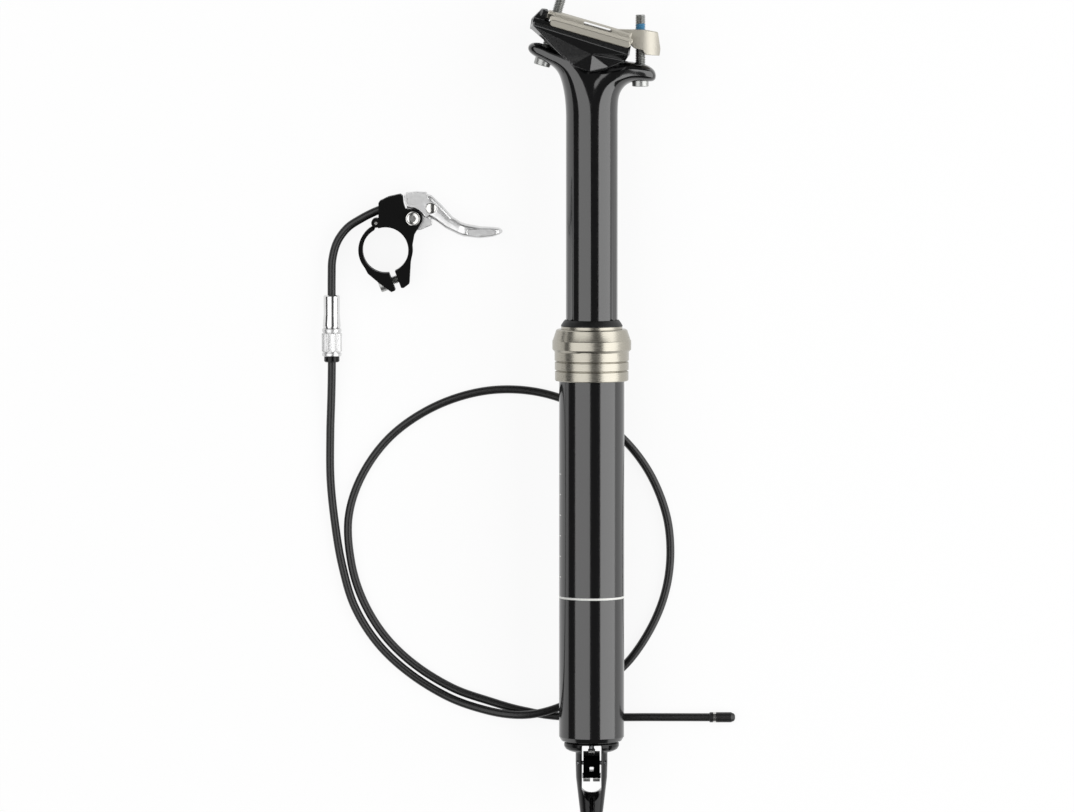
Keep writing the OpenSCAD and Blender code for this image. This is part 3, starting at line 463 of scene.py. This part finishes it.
rear_arm = above_flare([
    (-12.5, -16, 12.5, -16, 12.5, 2), (-12.5, -8, 12.5, -7, 12.5, 2), (-12.7, -1, 11.4, 3, 12.6, 2),
    (-13.3, 5, 8.4, 11, 12.7, 2.1), (-14.4, 10.4, 4.6, 17, 12.8, 2.2), (-16, 15, -1.5, 22, 12.7, 2.3),
    (-18.5, 18.2, -10, 26, 11.9, 2.5), (-21.4, 20, -18, 27.6, 10.6, 2.6), (-25, 22, -23.6, 29.6, 9.4, 2.6),
    (-28, 23.7, -27.6, 30.4, 8.4, 2.6), (-30, 25.3, -29.9, 29.6, 6.8, 2.4), (-31, 26.6, -31, 28.4, 4.6, 2.2)])
front_arm = above_flare([
    (12.5, -16, -12.5, -16, 12.5, 2), (12.5, -8, -12.5, -7, 12.5, 2), (12.6, -1, -11.4, 3, 12.6, 2),
    (13, 3.7, -8.4, 11, 12.7, 2.1), (14.4, 7.2, -4, 16.5, 12.8, 2.2), (16.9, 9.9, 4, 19.6, 12.6, 2.3),
    (20, 11.2, 14, 21.4, 11.2, 2.5), (24, 11.4, 22, 20.4, 9.8, 2.6), (27.4, 11.2, 26.8, 19.2, 8.8, 2.6),
    (29.7, 11.4, 29.5, 17.6, 7.6, 2.4), (31, 12.4, 30.9, 15.8, 5.2, 2.2)])
# The seat is an arc under the cradle's bore, from its rear corner to a point in the front arm
RIM_R = 19.2
SEAT_HALF = 12.4
ARC_SPAN, ARC_STEPS = 23.6, 24
seat_outline = [(-SEAT_HALF, -6), (-SEAT_HALF, -14.66)]
for k in range(ARC_STEPS + 1):
    over = -SEAT_HALF + ARC_SPAN * k / ARC_STEPS
    seat_outline.append((over, -math.sqrt(RIM_R ** 2 - over ** 2)))
seat_outline += [(17.5, -17.8), (11.2, -10.5), (8, -6)]
seat_points, seat_faces = prism([(SEAT[0] + x, SEAT[1] + y) for x, y in seat_outline], -SEAT_HALF, SEAT_HALF)
# The seat's sides narrow forward, so that they run out into the front arm
NARROWS_FROM, NARROWS_OVER = 5, 25
seat_points = [(x, y, z * (1 - max(0, x - NARROWS_FROM) / NARROWS_OVER)) for x, y, z in seat_points]
neck = placed(rod(POST_R, HEAD_CUT_Y - 6, FLARE_Y + 17), ALONG_POST)
head = new_piece("forged_head", together(neck, loft(rear_arm), loft(front_arm), (seat_points, seat_faces)))
# The skew keeps faces that the remeshing grid would terrace from mirroring the edge of a lamp
fused(head, 0.36, 110, skew=31)


def heading(degrees):
    """The direction in the XY plane at an angle from X"""
    turn = math.radians(degrees)
    return Vector((math.cos(turn), math.sin(turn), 0))


def lengthwise(at, way):
    """Places a shape drawn about Z along a way in the XY plane, its X kept in that plane"""
    way = Vector(way).normalized()
    sideways = Vector((way.y, -way.x, 0))
    turn = Matrix((sideways, way.cross(sideways), way)).transposed().to_4x4()
    return Matrix.Translation(Vector(at)) @ turn


# Each bolt's washer bears up against the ceiling of its ear, and the rear bolt stands square to the rails
RAIL_TILT_DEG = 16.2
FRONT_WAY = Vector((0, 1, 0))
FRONT_CEILING = Vector((23.4, FLARE_Y + 15.2, 0))
REAR_WAY = heading(90 - RAIL_TILT_DEG)
REAR_CEILING = Vector((-16.6, FLARE_Y + 45.5, 0)) - 21.3 * REAR_WAY
SLOT_RUN, SHANK_ROOM, HEAD_ROOM = 3.6, 2.8, 4.3
THROUGH = 40
cuts = [placed(rod(CRADLE_R, -THROUGH, THROUGH, 192), Matrix.Translation((SEAT[0], SEAT[1], 0)))]
for at, way in ((FRONT_CEILING, FRONT_WAY), (REAR_CEILING, REAR_WAY)):
    cuts.append(placed(slot_shape(SLOT_RUN, SHANK_ROOM, -0.5, 15.5), lengthwise(at, way)))
    cuts.append(placed(slot_shape(SLOT_RUN, HEAD_ROOM, -16, 0), lengthwise(at, way)))
cut_away(head, *cuts)
# Rounding drew the neck in a little, so its outside is brought back to the post's size
NECK_TOP_Y = FLARE_Y - 7
BORE_R = 11
for point in head.data.vertices:
    reach = math.hypot(point.co.x, point.co.z)
    if point.co.y / MM < NECK_TOP_Y and reach > BORE_R * MM:
        point.co.x *= POST_R * MM / reach
        point.co.z *= POST_R * MM / reach


def slice_off(work, at, outward):
    """Cuts away what lies outward of a plane through a point in metres, and closes the cut"""
    bmesh.ops.bisect_plane(work, geom=work.verts[:] + work.edges[:] + work.faces[:], plane_co=at,
                           plane_no=outward, clear_outer=True)
    bmesh.ops.holes_fill(work, edges=[e for e in work.edges if e.is_boundary])


def cut_square(piece, keep):
    """Cuts a piece square where the tube meets the head and keeps its upper (1) or lower (-1) part"""
    work = bmesh.new()
    work.from_mesh(piece.data)
    slice_off(work, (0, HEAD_CUT_Y * MM, 0), (0, -keep, 0))
    work.to_mesh(piece.data)
    work.free()
    shaded(piece.data)
    return piece


cut_square(head, 1)
stanchion = cut_square(from_cad("stanchion_tube", "stanchion_head"), -1)

anodise = surface("polished_black_anodise", "#060607", 0, 0.1, grain=3,
                  span=(0.08, 0.14), proud=0.003, sockets={"IOR": 1.77})
dress(head, anodise, "black_stanchion", "stanchion", "stanchion_head")
dress(stanchion, anodise, "black_stanchion", "stanchion")

# Saddle clamp
# Two forgings grip the rails. The lower one rocks in the head's bored seat and is polished black; the upper
# one is blasted and silver anodised, with rail covers whose machined faces are brighter.
facets = surface("polished_forging_black", "#070708", 0, 0.16, grain=0.5,
                 span=(0.12, 0.22), proud=0.003, sockets={"IOR": 1.77})
RAIL_R = 3.5
RAIL_Z = 22
CLAMP = (-1.06, FLARE_Y + 34.8, 0)
in_clamp = Matrix.Translation(CLAMP) @ Matrix.Rotation(-math.radians(RAIL_TILT_DEG), 4, "Z")
# The wing's outline at its foot, with how far out each corner stands, then the rim and the facets' apex
wing_foot = [(-28.4, -0.25, 14.8), (-28.2, -5.6, 15.8), (-18.2, -10.2, 19), (-9.2, -14.4, 20.8),
             (-3.8, -17, 19.8), (5, -17.7, 18), (13.8, -13, 13.9), (20.1, -7.8, 14.6), (21.2, -4.7, 15.5),
             (20.6, -0.25, 15.5)]
wing_rim = [(-27.6, -0.25, 25.6), (-27.6, -3.6, 25.6), (20.4, -4.6, 25.6), (20.2, -0.25, 25.6)]
WING_APEX = (3.7, -9.2, 21.6)
WING_ROOT = 11
CORE_HALF = 13.3


def wing(side):
    """One faceted wing of the lower forging, on the side of Z that is given"""
    count = len(wing_foot)
    root = [(u, v, WING_ROOT) for u, v, w in wing_foot]
    points = [(u, v, side * w) for u, v, w in wing_foot + wing_rim + [WING_APEX] + root]
    rim = count
    apex = rim + len(wing_rim)
    base = apex + 1
    faces = [(i, (i + 1) % count, base + (i + 1) % count, base + i) for i in range(count)]
    faces += [tuple(range(base, base + count)), (rim, rim + 1, rim + 2, rim + 3), (rim, 0, 1, rim + 1),
              (rim + 1, 1, 2), (rim + 1, 2, 3), (rim + 1, 3, apex), (apex, 3, 4), (apex, 4, 5), (apex, 5, 6),
              (apex, 6, 7), (apex, 7, rim + 2), (rim + 1, apex, rim + 2), (rim + 2, 7, 8),
              (rim + 2, 8, 9, rim + 3), (rim + 3, 9, 0, rim)]
    return placed((points, faces), in_clamp)


def core_of(piece, half):
    """The part of a piece that lies within half a width of the middle plane, as points and faces"""
    work = bmesh.new()
    work.from_mesh(piece.data)
    for side in (1, -1):
        slice_off(work, (0, 0, side * half * MM), (0, 0, side))
    work.verts.index_update()
    shape = [v.co / MM for v in work.verts], [tuple(v.index for v in f.verts) for f in work.faces]
    work.free()
    bpy.data.objects.remove(piece)
    return shape


# The hook behind the rails stands close against the upper forging
hook = placed(prism([(-25.6, -0.3), (-20.6, -0.3), (-20.6, 4.4), (-25.2, 4.9)], -12, 12), in_clamp)
core = core_of(from_cad("core", "lower_clamp"), CORE_HALF)
cradle = new_piece("lower_cradle", together(core, wing(1), wing(-1), hook))
fused(cradle, 0.31, 2)
rail_bores = [placed(rod(RAIL_R, -THROUGH, THROUGH), in_clamp @ towards((0, 0, side * RAIL_Z), (1, 0, 0)))
              for side in (1, -1)]
# The wings' outer faces are milled back to make room for the covers' lips
above_lip = [(-THROUGH, -1.95), (THROUGH, -1.95), (THROUGH, 5), (-THROUGH, 5)]
LIP_ROOM_Z, LIP_ROOM_DEEP = 24.6, 6
lip_room = [placed(prism(above_lip, low, low + LIP_ROOM_DEEP), in_clamp)
            for low in (LIP_ROOM_Z, -LIP_ROOM_Z - LIP_ROOM_DEEP)]
cut_away(cradle, *rail_bores, *lip_room)
dress(cradle, facets, "black_forged", "saddle_clamp", "lower_clamp")
blasted = surface("blasted_silver_forging", "#bdb9ae", 1, 0.55, grain=0.3, span=(0.48, 0.6), proud=0.008)
LIP_PROUD = 0.25


def cover_lip(side):
    """The bright lip outside one rail, a bar with round ends and a broken edge"""
    length, half = 36.7, 1.62
    rings = []
    for height, inset in ((25.55, 0), (26, 0), (26 + LIP_PROUD, 0.3)):
        rings.append([(x, y, side * height) for x, y in slot_outline(length, half - inset, 12)])
    return placed(skinned(rings), in_clamp @ Matrix.Translation((0.05, 0, 0)))


bridge = fused(from_cad("upper_bridge", "upper_clamp"), 0.28, 3)
bridge_slot = slot_shape(12.6, 0.75, -THROUGH, THROUGH)
cut_away(bridge, placed(bridge_slot, in_clamp @ Matrix.Translation((2.6, 4.15, 0))))
dress(bridge, blasted, "silver_forged", "saddle_clamp", "upper_clamp")
machined = surface("machined_silver_face", "#b9b5aa", 1, 0.42, grain=0.25, stretch=(0.06, 1, 1),
                   span=(0.38, 0.46), proud=0.0004)
for side, name in ((1, "near_cover_lip"), (-1, "far_cover_lip")):
    dress(new_piece(name, cover_lip(side)), machined, "silver_forged", "saddle_clamp")

# Clamp bolts and washers
# Zinc-plated steel M5 socket screws at 0.8 mm pitch with rolled threads. The front one carries a blue patch
# of dry thread lock where it stands out of the ear.
plated = surface("zinc_plated_steel", "#adaeac", 1, 0.38, grain=0.5, span=(0.33, 0.42), proud=0.0005)
patched = finish_of("zinc_plate_with_thread_lock", "#adaeac", 1, 0.38)
ragged = lumps_of(patched, 0.9)
height = coordinate(patched, "Y")
edge = add(patched, "Math", {"operation": "MULTIPLY_ADD", 1: 2 * MM}, {0: ragged, 2: height})
PATCH_Y, PATCH_HALF = 172.1, 1.4
patch = within(patched, edge.outputs[0], PATCH_Y, PATCH_HALF)
tint(patched, patch, "#adaeac", "#4f8bb0")
bare = add(patched, "Math", {"operation": "SUBTRACT", 0: 1}, {1: patch}).outputs[0]
into(patched, "Metallic", bare)
patch_gloss = add(patched, "MapRange", {"To Min": 0.36, "To Max": 0.5}, {"Value": patch}).outputs[0]
into(patched, "Roughness", patch_gloss)


def thread(radius, pitch, length, tip=0.5, sides=40):
    """A right-hand rolled thread about Z from 0 to length, with flat ends and a chamfered tip"""
    crest = [0, 0.1, 0.5, 0.9, 1, 0.9, 0.5, 0.1]
    rows = len(crest)
    depth = 0.61 * pitch
    points, faces = [], []
    total = (math.ceil(length / pitch) + 2) * rows
    for i in range(total):
        for k in range(sides + 1):
            height = pitch * (i / rows + k / sides - 1)
            reach = radius - depth + depth * crest[i % rows]
            if height <= 0 or height >= length:
                height = min(max(height, 0), length)
                reach = radius - depth * 1.1
            reach = min(reach, radius - tip + (length - height))
            turn = 2 * math.pi * k / sides
            points.append((reach * math.cos(turn), reach * math.sin(turn), height))
    width = sides + 1
    for i in range(total - 1):
        for k in range(sides):
            faces.append((i * width + k, i * width + k + 1, (i + 1) * width + k + 1, (i + 1) * width + k))
    return points, faces


def capped(piece):
    """Closes the flat ends of a thread"""
    work = bmesh.new()
    work.from_mesh(piece.data)
    bmesh.ops.dissolve_degenerate(work, edges=work.edges[:], dist=0.0005 * MM)
    bmesh.ops.holes_fill(work, edges=[e for e in work.edges if e.is_boundary])
    bmesh.ops.recalc_face_normals(work, faces=work.faces)
    work.to_mesh(piece.data)
    work.free()
    return piece


def hexagon(across, low, high):
    """A hexagon of a size across its flats, solid between two heights"""
    reach = across / 2 / math.cos(math.radians(30))
    return prism([(reach * math.cos(math.radians(60 * k)), reach * math.sin(math.radians(60 * k)))
                  for k in range(6)], low, high)


def socket_screw(name, place, radius, pitch, length, head_r, head_h, key, material, body, node):
    """A socket screw: a threaded shank from 0 to length and a turned head below 0 with a hexagon socket"""
    shank = capped(new_piece(name + "_thread", placed(thread(radius, pitch, length), place), 50))
    head_profile = [(0, 0), (head_r - 0.15, 0), (head_r, -0.15), (head_r, 0.45 - head_h),
                    (head_r - 0.1, 0.2 - head_h), (head_r - 0.45, -head_h), (0, -head_h)]
    cap = new_piece(name + "_head", placed(turned(head_profile, 96), place))
    cut_away(cap, placed(hexagon(key, -head_h - 1, -head_h * 0.45), place))
    eased(cap, 0.08)
    dress(cap, material, "bolt_steel", body, node)
    dress(shank, material, "bolt_steel", body)


def washer_shape():
    """A washer with a domed top, seat for the screw's head below"""
    bore_r, outer_r, dome_r, top = 2.6, 4, 9, 1.42
    profile = [(bore_r, 0.02), (outer_r, 0.02)]
    for k in range(9):
        reach = outer_r - 1.4 * k / 8
        profile.append((reach, top - dome_r + math.sqrt(dome_r ** 2 - reach * reach)))
    return turned(profile, 96)


WASHER_ROOM = 1.6
FRONT_HEAD = FRONT_CEILING - WASHER_ROOM * FRONT_WAY
REAR_HEAD = REAR_CEILING - WASHER_ROOM * REAR_WAY
for name, at, way, length, material, body, node in (
        ("front_clamp_screw", FRONT_HEAD, FRONT_WAY, 30, patched, "front_screw", "front_bolt"),
        ("rear_clamp_screw", REAR_HEAD, REAR_WAY, 30.4, plated, "rear_screw", "rear_bolt")):
    socket_screw(name, lengthwise(at, way), radius=2.5, pitch=0.8, length=length, head_r=4, head_h=4.7, key=4,
                 material=material, body=body, node=node)
for name, at, way, body in (("front_washer", FRONT_HEAD, FRONT_WAY, "front_screw"),
                            ("rear_washer", REAR_HEAD, REAR_WAY, "rear_screw")):
    domed = new_piece("domed_" + name, placed(washer_shape(), lengthwise(at, way)))
    dress(domed, plated, "bolt_steel", body, name)

# Remote clamp
# Machined aluminium body and hinged strap, blasted and anodised matt black, round the handlebar. A pressed-in
# dowel is the hinge, and an M4 socket screw draws the gap shut.
REMOTE = Vector((-100.1, 62.5, -20))
GAP = REMOTE + Vector((4.6, -14.6, 0))
GAP_WAY = heading(20.5)
matt = surface("matt_black_anodise", "#040404", 0, 0.5, grain=0.22,
               span=(0.42, 0.56), proud=0.008, sockets={"Specular IOR Level": 0.1})
for name, node, body in (("clamp_block", "clamp_body", "lower_post"),
                         ("hinged_strap", "clamp_strap", "strap")):
    dress(fused(from_cad(name, node), 0.2, 2), matt, "black_anodised", body, node)
bright = surface("bright_turned_alloy", "#cfcecb", 1, 0.18, grain=0.18, stretch=(0.05, 1, 0.05),
                 span=(0.12, 0.22), proud=0.002)
dress(nodes["strap_hinge_pin"], bright, "bright_alloy")
socket_screw("strap_clamp_screw", lengthwise(GAP - 4.7 * GAP_WAY, GAP_WAY), radius=2, pitch=0.7, length=11.9,
             head_r=3.5, head_h=3.5, key=3, material=plated, body="strap_screw", node="clamp_bolt")

# Thumb lever
# Cast aluminium, polished bright, with a dished thumb paddle. It swings on a bushed pivot screw against a
# torsion spring and holds the cable's barrel nipple.
cast = surface("satin_polished_casting", "#dedede", 1, 0.36, grain=1.5, span=(0.32, 0.42), proud=0.004)
lever = fused(from_cad("thumb_lever_arm", "thumb_lever"), 0.2, 9)
# A shallow panel is struck in each cheek, as far in from its edge all round
PANEL_Z, CHEEK_Z = 3.5, 8
panel = [(REMOTE.x + x, REMOTE.y + y) for x, y in
         ((10.3, 22.4), (10.5, 25.2), (13.2, 26.1), (17.3, 26.3), (19.4, 24.9), (18.3, 23), (14.2, 22.1))]
for side in (1, -1):
    cut_away(lever, prism(panel, *sorted((REMOTE.z + side * PANEL_Z, REMOTE.z + side * CHEEK_Z))))
dress(lever, cast, "silver_lever", "lever", "thumb_lever")
PIVOT = Matrix.Translation(REMOTE + Vector((13.3, 15.4, -REMOTE.z)))
PIVOT_TOP = max(v.co.z for v in nodes["lever_pivot_bolt"].data.vertices) / MM
PIVOT_FOOT = min(v.co.z for v in nodes["lever_pivot_bolt"].data.vertices) / MM
pivot_profile = [(0, PIVOT_FOOT), (2.4, PIVOT_FOOT), (2.4, PIVOT_TOP - 1.68), (3.55, PIVOT_TOP - 1.68),
                 (3.55, PIVOT_TOP - 0.5), (3.3, PIVOT_TOP - 0.12), (2.95, PIVOT_TOP), (2.5, PIVOT_TOP - 0.12),
                 (1.75, PIVOT_TOP - 0.55), (0, PIVOT_TOP - 0.6)]
pivot_screw = new_piece("dished_pivot_screw", placed(turned(pivot_profile, 96), PIVOT))
cut_away(pivot_screw, placed(hexagon(3, PIVOT_TOP - 1.3, PIVOT_TOP + 1), PIVOT))
dress(pivot_screw, bright, "bolt_steel", "lower_post", "lever_pivot_bolt")
NIPPLE = REMOTE + Vector((22.2, 20.3, 0))
WIRE_WAY = heading(163)
NIPPLE_DOME_R = 6
nipple_profile = [(0, -4.4), (2.1, -4.2), (2.5, -3.8), (2.5, 3.6)]
for k in range(7):
    reach = 2.4 - 0.4 * k
    nipple_profile.append((reach, 4.4 + math.sqrt(NIPPLE_DOME_R ** 2 - reach * reach) - NIPPLE_DOME_R))
barrel_nipple = together(placed(turned(nipple_profile, 96), Matrix.Translation(NIPPLE)),
                         placed(rod(0.6, 2.3, 12.6, 24), towards(NIPPLE, WIRE_WAY)))
dress(new_piece("domed_barrel_nipple", barrel_nipple), bright, "bright_alloy", "lever", "cable_nipple")
dress(nodes["lever_spring"], steel, "steel")
dress(nodes["inner_wire"], steel, "steel")

# Barrel adjuster
# The body is turned and chrome plated, the barrel knurled and satin plated so that fingers can turn it, and a
# black collar closes it on the lower housing.
chrome = surface("chrome_plate", "#dedede", 1, 0.13, grain=2, span=(0.1, 0.17), proud=0.002)
dress(nodes["adjuster_body"], chrome, "chrome_plate")
BARREL_X, BARREL_FOOT_Y, BARREL_Z = -126.4, 10.5, -20.9
barrel_profile = [
    (2.3, 0.05), (4.3, 0.05), (4.7, 0.35), (4.7, 1.6), (4.3, 1.8), (4.3, 2.2), (4.9, 2.5), (4.9, 11.2),
    (4.3, 11.5), (4.3, 11.9), (4.7, 12.1), (4.7, 13.4), (4.3, 13.75), (2.3, 13.75)]
knurled = placed(turned(barrel_profile, steps=288, flutes=24, depth=0.22, outside=4.8),
                 Matrix.Translation((BARREL_X, BARREL_FOOT_Y, BARREL_Z)) @ ALONG_POST)
barrel = eased(new_piece("knurled_barrel", knurled, 50), 0.06, 50)
dress(barrel, cast, "chrome_plate", "barrel", "adjuster_barrel")
dress(nodes["adjuster_cap"], satin, "ferrule_black")

# Cable housing
# Extruded black jacket over a steel spiral. The upper run goes from the remote to the adjuster, the lower one
# makes a loop on the table, passes under the post three times and ends in a moulded ferrule.
FLOOR = -26
LIE = FLOOR + 2
END = FLOOR + 2.5
REMOTE_Z = FLOOR + 6
HOUSING_R = 2
upper_route = [
    (-100.4, 82.95, REMOTE_Z), (-105.8, 80.8, REMOTE_Z), (-112, 77.6, REMOTE_Z - 0.2),
    (-118.6, 73.2, REMOTE_Z - 0.5), (-123.6, 66.4, REMOTE_Z - 0.8), (-126, 58, BARREL_Z),
    (BARREL_X, 49, BARREL_Z), (BARREL_X, 33.2, BARREL_Z)]
lower_route = [
    (BARREL_X, 13, BARREL_Z), (BARREL_X, 5, BARREL_Z), (-126.7, -9, LIE + 1.6), (-127.3, -28, LIE),
    (-127.2, -50, LIE), (-125, -72, LIE), (-121.6, -92, LIE), (-115.6, -112, LIE), (-104.4, -130, LIE),
    (-89, -144.6, LIE), (-70, -156.4, LIE), (-52, -162.6, LIE + 2), (-37, -164.8, LIE + 4.4),
    (-24, -163.6, LIE + 4.4), (-10, -158.8, LIE + 1.6), (6, -149.6, LIE), (19, -138, LIE), (30, -121, LIE),
    (36.6, -103, LIE), (38.6, -84, LIE), (36, -65, LIE), (27.4, -45, LIE), (13.5, -28, LIE), (-6, -14, LIE),
    (-28, -6.8, LIE), (-52, -6.6, LIE), (-76, -14, LIE), (-97, -28, LIE), (-111.4, -47, LIE),
    (-118.4, -68, LIE), (-117.2, -90.4, LIE), (-111.2, -109.6, LIE), (-100.6, -126.8, LIE),
    (-86, -140.8, LIE), (-67.8, -152, LIE), (-50, -158.4, LIE), (-33, -163.2, LIE), (-12, -166.2, LIE),
    (30, -166.4, LIE), (54, -166.4, END), (62.8, -166.4, END)]
jacket = surface("extruded_black_jacket", "#151515", 0, 0.32, grain=0.8,
                 span=(0.26, 0.38), proud=0.006, sockets={"Specular IOR Level": 0.5})


def smooth_line(points, step=1.5):
    """Points about step apart on the smooth curve through the route"""
    line = []
    for i in range(len(points) - 1):
        count = max(1, round((Vector(points[i + 1]) - Vector(points[i])).length / step))
        around = [points[max(i - 1, 0)], points[i], points[i + 1], points[min(i + 2, len(points) - 1)]]
        line += sections_between(around, count)[count:2 * count]
    return line + [Vector(points[-1])]


def swept(line, radius, sides=24):
    """Rings of a round section along a line, with closed ends"""
    rings = []
    for i, at in enumerate(line):
        way = (line[min(i + 1, len(line) - 1)] - line[max(i - 1, 0)]).normalized()
        side = way.cross(Vector((0, 0, 1))).normalized()
        up = side.cross(way)
        turns = [2 * math.pi * k / sides for k in range(sides)]
        rings.append([at + radius * (math.cos(turn) * side - math.sin(turn) * up) for turn in turns])
    return skinned(rings)


def housing(name, node, route):
    """One run of the housing, a round jacket swept along its route"""
    line = smooth_line(route)
    piece = new_piece(name, swept(line, HOUSING_R))
    dress(piece, jacket, "cable_housing", "lower_post", node)


housing("remote_run", "housing_upper", upper_route)
housing("post_run", "housing_lower", lower_route)
nylon = surface("moulded_black_nylon", "#141415", 0, 0.35, grain=0.3, span=(0.3, 0.42), proud=0.004)
dress(nodes["end_ferrule"], nylon, "ferrule_black")
dress(nodes["ferrule_ring"], bright, "bright_alloy")

# Table, lamps and camera
# White paper seen from straight above, with a large soft box on either side of the post.
TABLE_HALF = 4000
corners = [(x, y, FLOOR - LIP_PROUD) for x, y in ((-TABLE_HALF, -TABLE_HALF), (TABLE_HALF, -TABLE_HALF),
                                                  (TABLE_HALF, TABLE_HALF), (-TABLE_HALF, TABLE_HALF))]
table = new_piece("white_table", (corners, [(0, 1, 2, 3)]))
paper = finish_of("white_paper", "#f4f4f4", 0, 0.9, {"Specular IOR Level": 0.1})
# The camera and the metals' reflections see most of it as plain white, and the rest keeps the shadow
PAPER_GLOW = 0.9
seen = add(paper, "LightPath")
shown = larger(paper, seen.outputs["Is Camera Ray"], seen.outputs["Is Glossy Ray"])
share = add(paper, "Math", {"operation": "MULTIPLY", 1: PAPER_GLOW}, {0: shown}).outputs[0]
glow = add(paper, "Emission", {"Color": linear("#ffffff"), "Strength": 1})
tree = paper.node_tree
mix = add(paper, "MixShader",
          links={0: share, 1: tree.nodes["Principled BSDF"].outputs[0], 2: glow.outputs[0]})
tree.links.new(mix.outputs[0], tree.nodes["Material Output"].inputs["Surface"])
table.data.materials.append(paper)


def lamp(name, at, size, power):
    """A soft box of width by length in metres and a power in watts, aimed at the post"""
    light = bpy.data.lights.new(name, "AREA")
    light.shape = "RECTANGLE"
    light.size, light.size_y = size
    light.energy = power
    rig = bpy.data.objects.new(name, light)
    rig.location = at
    back = Vector(at).normalized()
    side = Vector((0, 1, 0)).cross(back).normalized()
    rig.rotation_euler = Matrix((side, back.cross(side), back)).transposed().to_euler()
    rig.visible_camera = False
    bpy.context.scene.collection.objects.link(rig)


lamp("right_box", (1.732, 0, 1.0), (2.31, 3.8), 68)
lamp("left_box", (-1.217, 0, 1.832), (2.28, 3.8), 45)
world = bpy.data.worlds.new("studio")
world.use_nodes = True
sky = world.node_tree.nodes["Background"]
sky.inputs["Color"].default_value = linear("#ffffff")
sky.inputs["Strength"].default_value = 0.09
bpy.context.scene.world = world
bpy.context.scene.view_settings.view_transform = "Standard"

DISTANCE = 3.6
TILT = math.radians(3.9)
VIEW_CENTRE = Vector((-0.0265, -0.0123, 0))
VIEW_WIDTH = 0.5201
view_camera = bpy.data.cameras.new("flat_lay_camera")
view_camera.sensor_width = 36
view_camera.lens = view_camera.sensor_width * DISTANCE / VIEW_WIDTH
view_camera.clip_end = 50
camera = bpy.data.objects.new("flat_lay_camera", view_camera)
camera.location = VIEW_CENTRE + DISTANCE * Vector((0, math.sin(TILT), math.cos(TILT)))
camera.rotation_euler = (-TILT, 0, 0)
bpy.context.scene.collection.objects.link(camera)
bpy.context.scene.camera = camera
